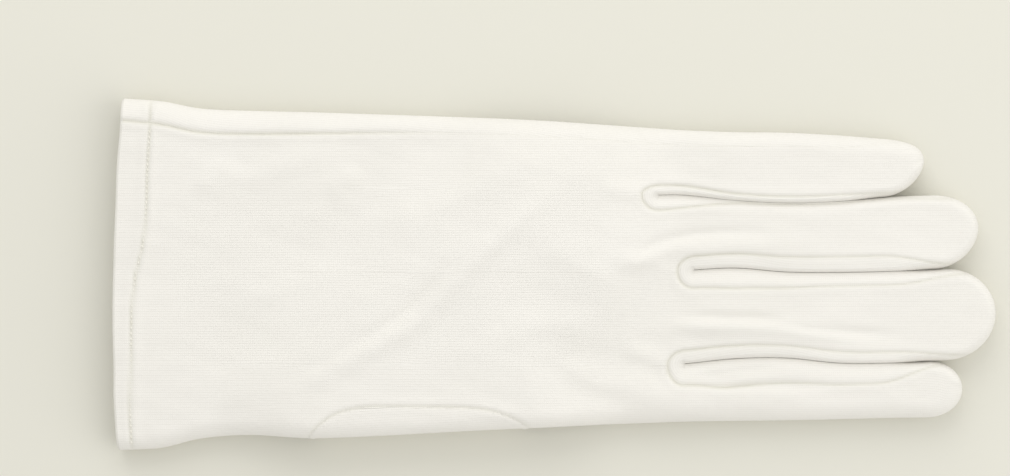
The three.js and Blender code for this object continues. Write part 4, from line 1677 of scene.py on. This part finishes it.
def math_node(
    tree: bpy.types.NodeTree, kind: str, *values: bpy.types.NodeSocket | float
) -> bpy.types.NodeSocket:
    """One sum of a formula in a material.

    Args:
        tree: the material's nodes.
        kind: which sum.
        values: what it takes, sockets or numbers.

    Returns:
        The socket that holds its result.
    """
    node = tree.nodes.new("ShaderNodeMath")
    node.operation = kind
    for entry, value in zip(node.inputs, values):
        if isinstance(value, (int, float)):
            entry.default_value = value
        else:
            tree.links.new(value, entry)
    return node.outputs[0]


def noise_node(tree: bpy.types.NodeTree, scale: float, detail: float = 2.0) -> bpy.types.NodeSocket:
    """Noise on the piece's own coordinates.

    Args:
        tree: the material's nodes.
        scale: how many of its waves fit in a metre.
        detail: how fine it goes.

    Returns:
        The socket that holds the noise, from 0 to 1.
    """
    place = tree.nodes.new("ShaderNodeTexCoord")
    noise = tree.nodes.new("ShaderNodeTexNoise")
    noise.inputs["Scale"].default_value = scale
    noise.inputs["Detail"].default_value = detail
    tree.links.new(place.outputs["Object"], noise.inputs["Vector"])
    return noise.outputs["Fac"]


@dataclass(frozen=True)
class Tint:
    """A cloth's colour, and the one that it has in full shade."""

    colour: tuple[float, float, float]
    # shade is the darker colour that an amount mixes in: painted shade at the knit's seams and valleys, and
    # a random darker tone in its clouds and the thread's patches.
    shade: tuple[float, float, float]

    def colour_by(self, tree: bpy.types.NodeTree, amount: bpy.types.NodeSocket) -> None:
        """Colours a material by an amount of shade.

        Args:
            tree: the material's nodes.
            amount: the socket that holds the amount, from 0 to 1.
        """
        mix = tree.nodes.new("ShaderNodeMix")
        mix.data_type = "RGBA"
        mix.inputs["A"].default_value = (*self.colour, 1.0)
        mix.inputs["B"].default_value = (*self.shade, 1.0)
        tree.links.new(amount, mix.inputs["Factor"])
        tree.links.new(mix.outputs["Result"], tree.nodes["Principled BSDF"].inputs["Base Color"])


@dataclass(frozen=True)
class ThreadFinish:
    """Matt cotton sewing thread, a little darker in patches."""

    name: str
    tint: Tint
    roughness: float = 0.85
    patch_scale: float = 900.0

    def build(self) -> bpy.types.Material:
        """Makes the thread's material.

        Returns:
            The material.
        """
        material = new_material(self.name, self.roughness)
        self.tint.colour_by(material.node_tree, noise_node(material.node_tree, self.patch_scale))
        return material


@dataclass(frozen=True)
class KnitFinish:
    """Fine cotton jersey: rows of small V-shaped stitches, a soft sheen and warm shade in the seams.

    wale and course are a stitch's width and length, and relief is the bump's full height. The heights are
    shares of it: the leg's two rounds, the slanting yarn, the valley between two wales and the fuzz. slant
    is how many courses a leg leans, drift is how many wales they wander, and the shades are amounts of the
    tint's darker colour: painted shade along the seams and in the valleys between wales, and a random
    darker tone in clouds.
    """

    name: str
    tint: Tint
    wale: float = 0.7 * MM
    course: float = 0.55 * MM
    relief: float = 0.17 * MM
    strength: float = 0.55
    roughness: float = 0.9
    sheen: float = 0.25
    sheen_roughness: float = 0.55
    specular: float = 0.2
    slant: float = 1.3
    drift: float = 0.5
    drift_scale: float = 90.0
    leg_height: float = 0.45
    yarn_height: float = 0.16
    valley_height: float = 0.5
    valley_power: float = 3.0
    fuzz_height: float = 0.5
    fuzz_scale: float = 2600.0
    fine_detail: float = 3.0
    seam_shade: float = 0.6
    valley_shade: float = 0.16
    cloud_shade: float = 0.16
    cloud_scale: float = 26.0

    def build(self) -> bpy.types.Material:
        """Makes the material, its stitches worked out from the cloth coordinates.

        With w the place in a wale from 0 to 1 and m its distance from 0.5, the height is the leg's share of
        sin(pi fract(2 w)), plus the yarn's of sin(2 pi (x / course + slant m)), less the valley's of
        (2 m) to its power, plus the fuzz.

        Returns:
            The material.
        """
        material = new_material(self.name, self.roughness)
        tree = material.node_tree
        shader = tree.nodes["Principled BSDF"]
        shader.inputs["Sheen Weight"].default_value = self.sheen
        shader.inputs["Sheen Roughness"].default_value = self.sheen_roughness
        shader.inputs["Specular IOR Level"].default_value = self.specular
        cloth = tree.nodes.new("ShaderNodeUVMap")
        cloth.uv_map = "cloth"
        parts = tree.nodes.new("ShaderNodeSeparateXYZ")
        tree.links.new(cloth.outputs["UV"], parts.inputs[0])

        do = partial(math_node, tree)
        wander = do("MULTIPLY", noise_node(tree, self.drift_scale), self.drift)
        within = do("FRACT", do("ADD", do("DIVIDE", parts.outputs["Y"], self.wale), wander))
        off_middle = do("ABSOLUTE", do("SUBTRACT", within, 0.5))
        leg = do("SINE", do("MULTIPLY", do("FRACT", do("MULTIPLY", within, 2.0)), math.pi))
        course = do("DIVIDE", parts.outputs["X"], self.course)
        turn = do("MULTIPLY", do("MULTIPLY_ADD", off_middle, self.slant, course), 2.0 * math.pi)
        valley = do("POWER", do("MULTIPLY", off_middle, 2.0), self.valley_power)
        fuzz = noise_node(tree, self.fuzz_scale, self.fine_detail)
        yarn = do("MULTIPLY", do("SINE", turn), self.yarn_height)
        height = do("MULTIPLY_ADD", leg, self.leg_height, yarn)
        height = do("SUBTRACT", height, do("MULTIPLY", valley, self.valley_height))
        height = do("MULTIPLY_ADD", fuzz, self.fuzz_height, height)
        bump = tree.nodes.new("ShaderNodeBump")
        bump.inputs["Strength"].default_value = self.strength
        bump.inputs["Distance"].default_value = self.relief
        tree.links.new(height, bump.inputs["Height"])
        tree.links.new(bump.outputs["Normal"], shader.inputs["Normal"])

        seam = tree.nodes.new("ShaderNodeAttribute")
        seam.attribute_name = "seam"
        clouds = noise_node(tree, self.cloud_scale, self.fine_detail)
        # Painted shade: the colour darkens along the seams and in the valleys between wales; the clouds add
        # a random darker tone.
        amount = do("MULTIPLY", seam.outputs["Fac"], self.seam_shade)
        amount = do("ADD", amount, do("MULTIPLY", valley, self.valley_shade))
        amount = do("ADD", amount, do("MULTIPLY", clouds, self.cloud_shade))
        self.tint.colour_by(tree, amount)
        return material


@dataclass(frozen=True)
class FloorFinish:
    """A pale matt floor."""

    name: str = "pale_floor"
    colour: tuple[float, float, float] = (0.74, 0.727, 0.647)
    roughness: float = 0.9

    def build(self) -> bpy.types.Material:
        """Makes the floor's material.

        Returns:
            The material.
        """
        material = new_material(self.name, self.roughness)
        shader = material.node_tree.nodes["Principled BSDF"]
        shader.inputs["Base Color"].default_value = (*self.colour, 1.0)
        return material


@dataclass(frozen=True)
class Lamp:
    """A soft square light that faces the glove: where it hangs, its side and its power in watts."""

    name: str
    place: tuple[float, float, float]
    size: float
    power: float

    def build(self) -> None:
        """Makes the light."""
        data = bpy.data.lights.new(self.name, "AREA")
        data.size = self.size
        data.energy = self.power
        lamp = bpy.data.objects.new(self.name, data)
        lamp.location = self.place
        lamp.rotation_mode = "QUATERNION"
        lamp.rotation_quaternion = (-Vector(self.place)).to_track_quat("-Z", "Y")
        bpy.context.scene.collection.objects.link(lamp)


@dataclass
class Studio:
    """The floor, the soft lights and the camera that looks straight down on the glove.

    pixel is the length of a pixel of the photo. Its cuff_pixel is the column of the cuff's edge, and its
    low_edge_pixel the row where the glove's width starts. The floor lies floor_drop below the glove.
    """

    glove: Glove
    lamps: tuple[Lamp, ...] = (
        Lamp("key", (-0.12, 0.72, 0.5), 0.8, 3.1),
        Lamp("fill", (0.7, -0.2, 0.5), 0.9, 2.0),
    )
    world_colour: tuple[float, float, float] = (1.0, 0.995, 0.98)
    world_strength: float = 0.8
    floor_reach: float = 3.0
    floor_points: int = 9
    floor_drop: float = 0.05 * MM
    photo_width: int = 1010
    photo_height: int = 476
    cuff_pixel: float = 120.0
    low_edge_pixel: float = 446.0
    pixel: float = 0.285 * MM
    lens: float = 100.0
    sensor: float = 36.0
    focus_height: float = 8.0 * MM

    def build(self) -> None:
        """Makes the floor, the lights, the camera and the world."""
        self.floor()
        self.camera()
        for lamp in self.lamps:
            lamp.build()
        world = bpy.data.worlds.new("studio")
        world.use_nodes = True
        background = world.node_tree.nodes["Background"]
        background.inputs[0].default_value = (*self.world_colour, 1.0)
        background.inputs[1].default_value = self.world_strength
        bpy.context.scene.world = world
        bpy.context.scene.view_settings.view_transform = "Standard"

    def floor(self) -> None:
        """Makes the floor: one wide flat grid under the glove."""
        side = np.linspace(-self.floor_reach, self.floor_reach, self.floor_points)
        x, y = np.meshgrid(side, side, indexing="ij")
        points = np.stack([x, y, np.full(x.shape, -self.floor_drop)], axis=-1)
        sheet = Sheet(points, np.stack([x, y], axis=-1), np.zeros(x.shape))
        floor = mesh_object("floor", [sheet], False)
        floor.data.materials.append(FloorFinish().build())

    def camera(self) -> None:
        """Puts the camera straight above, so that the glove lies in the frame as in the photo."""
        middle_x = (self.photo_width / 2 - self.cuff_pixel) * self.pixel
        middle_y = (self.low_edge_pixel - self.photo_height / 2) * self.pixel
        data = bpy.data.cameras.new("camera")
        data.lens = self.lens
        data.sensor_width = self.sensor
        camera = bpy.data.objects.new("camera", data)
        height = self.photo_width * self.pixel * self.lens / self.sensor
        origin = self.glove.origin
        camera.location = (origin[0] + middle_x, origin[1] + middle_y, self.focus_height + height)
        bpy.context.scene.collection.objects.link(camera)
        bpy.context.scene.camera = camera


def main() -> None:
    """Builds the glove piece by piece, then the studio round it."""
    logging.basicConfig(level=logging.INFO)
    glove = Glove()
    knit = KnitFinish("white_knit", Tint((0.885, 0.862, 0.815), (0.68, 0.665, 0.565))).build()
    inner_knit = KnitFinish("hem_knit", Tint((0.83, 0.81, 0.755), (0.62, 0.61, 0.52))).build()
    thread = ThreadFinish("hem_thread", Tint((0.86, 0.84, 0.78), (0.72, 0.7, 0.61))).build()
    pieces = [
        Panel(glove, face=Face.BACK).build("back_panel", knit),
        Panel(glove, face=Face.PALM).build("palm_panel", knit),
        *[Fourchette(glove, crotch=crotch).build(knit) for crotch in CROTCHES],
        Thumb(glove).build(knit),
        CuffHem(glove).build(inner_knit),
        HemStitches(glove).build(thread),
    ]
    Studio(glove).build()
    for piece in pieces:
        LOG.info("%s: %d points", piece.name, len(piece.data.vertices))


if __name__ == "__main__":
    main()
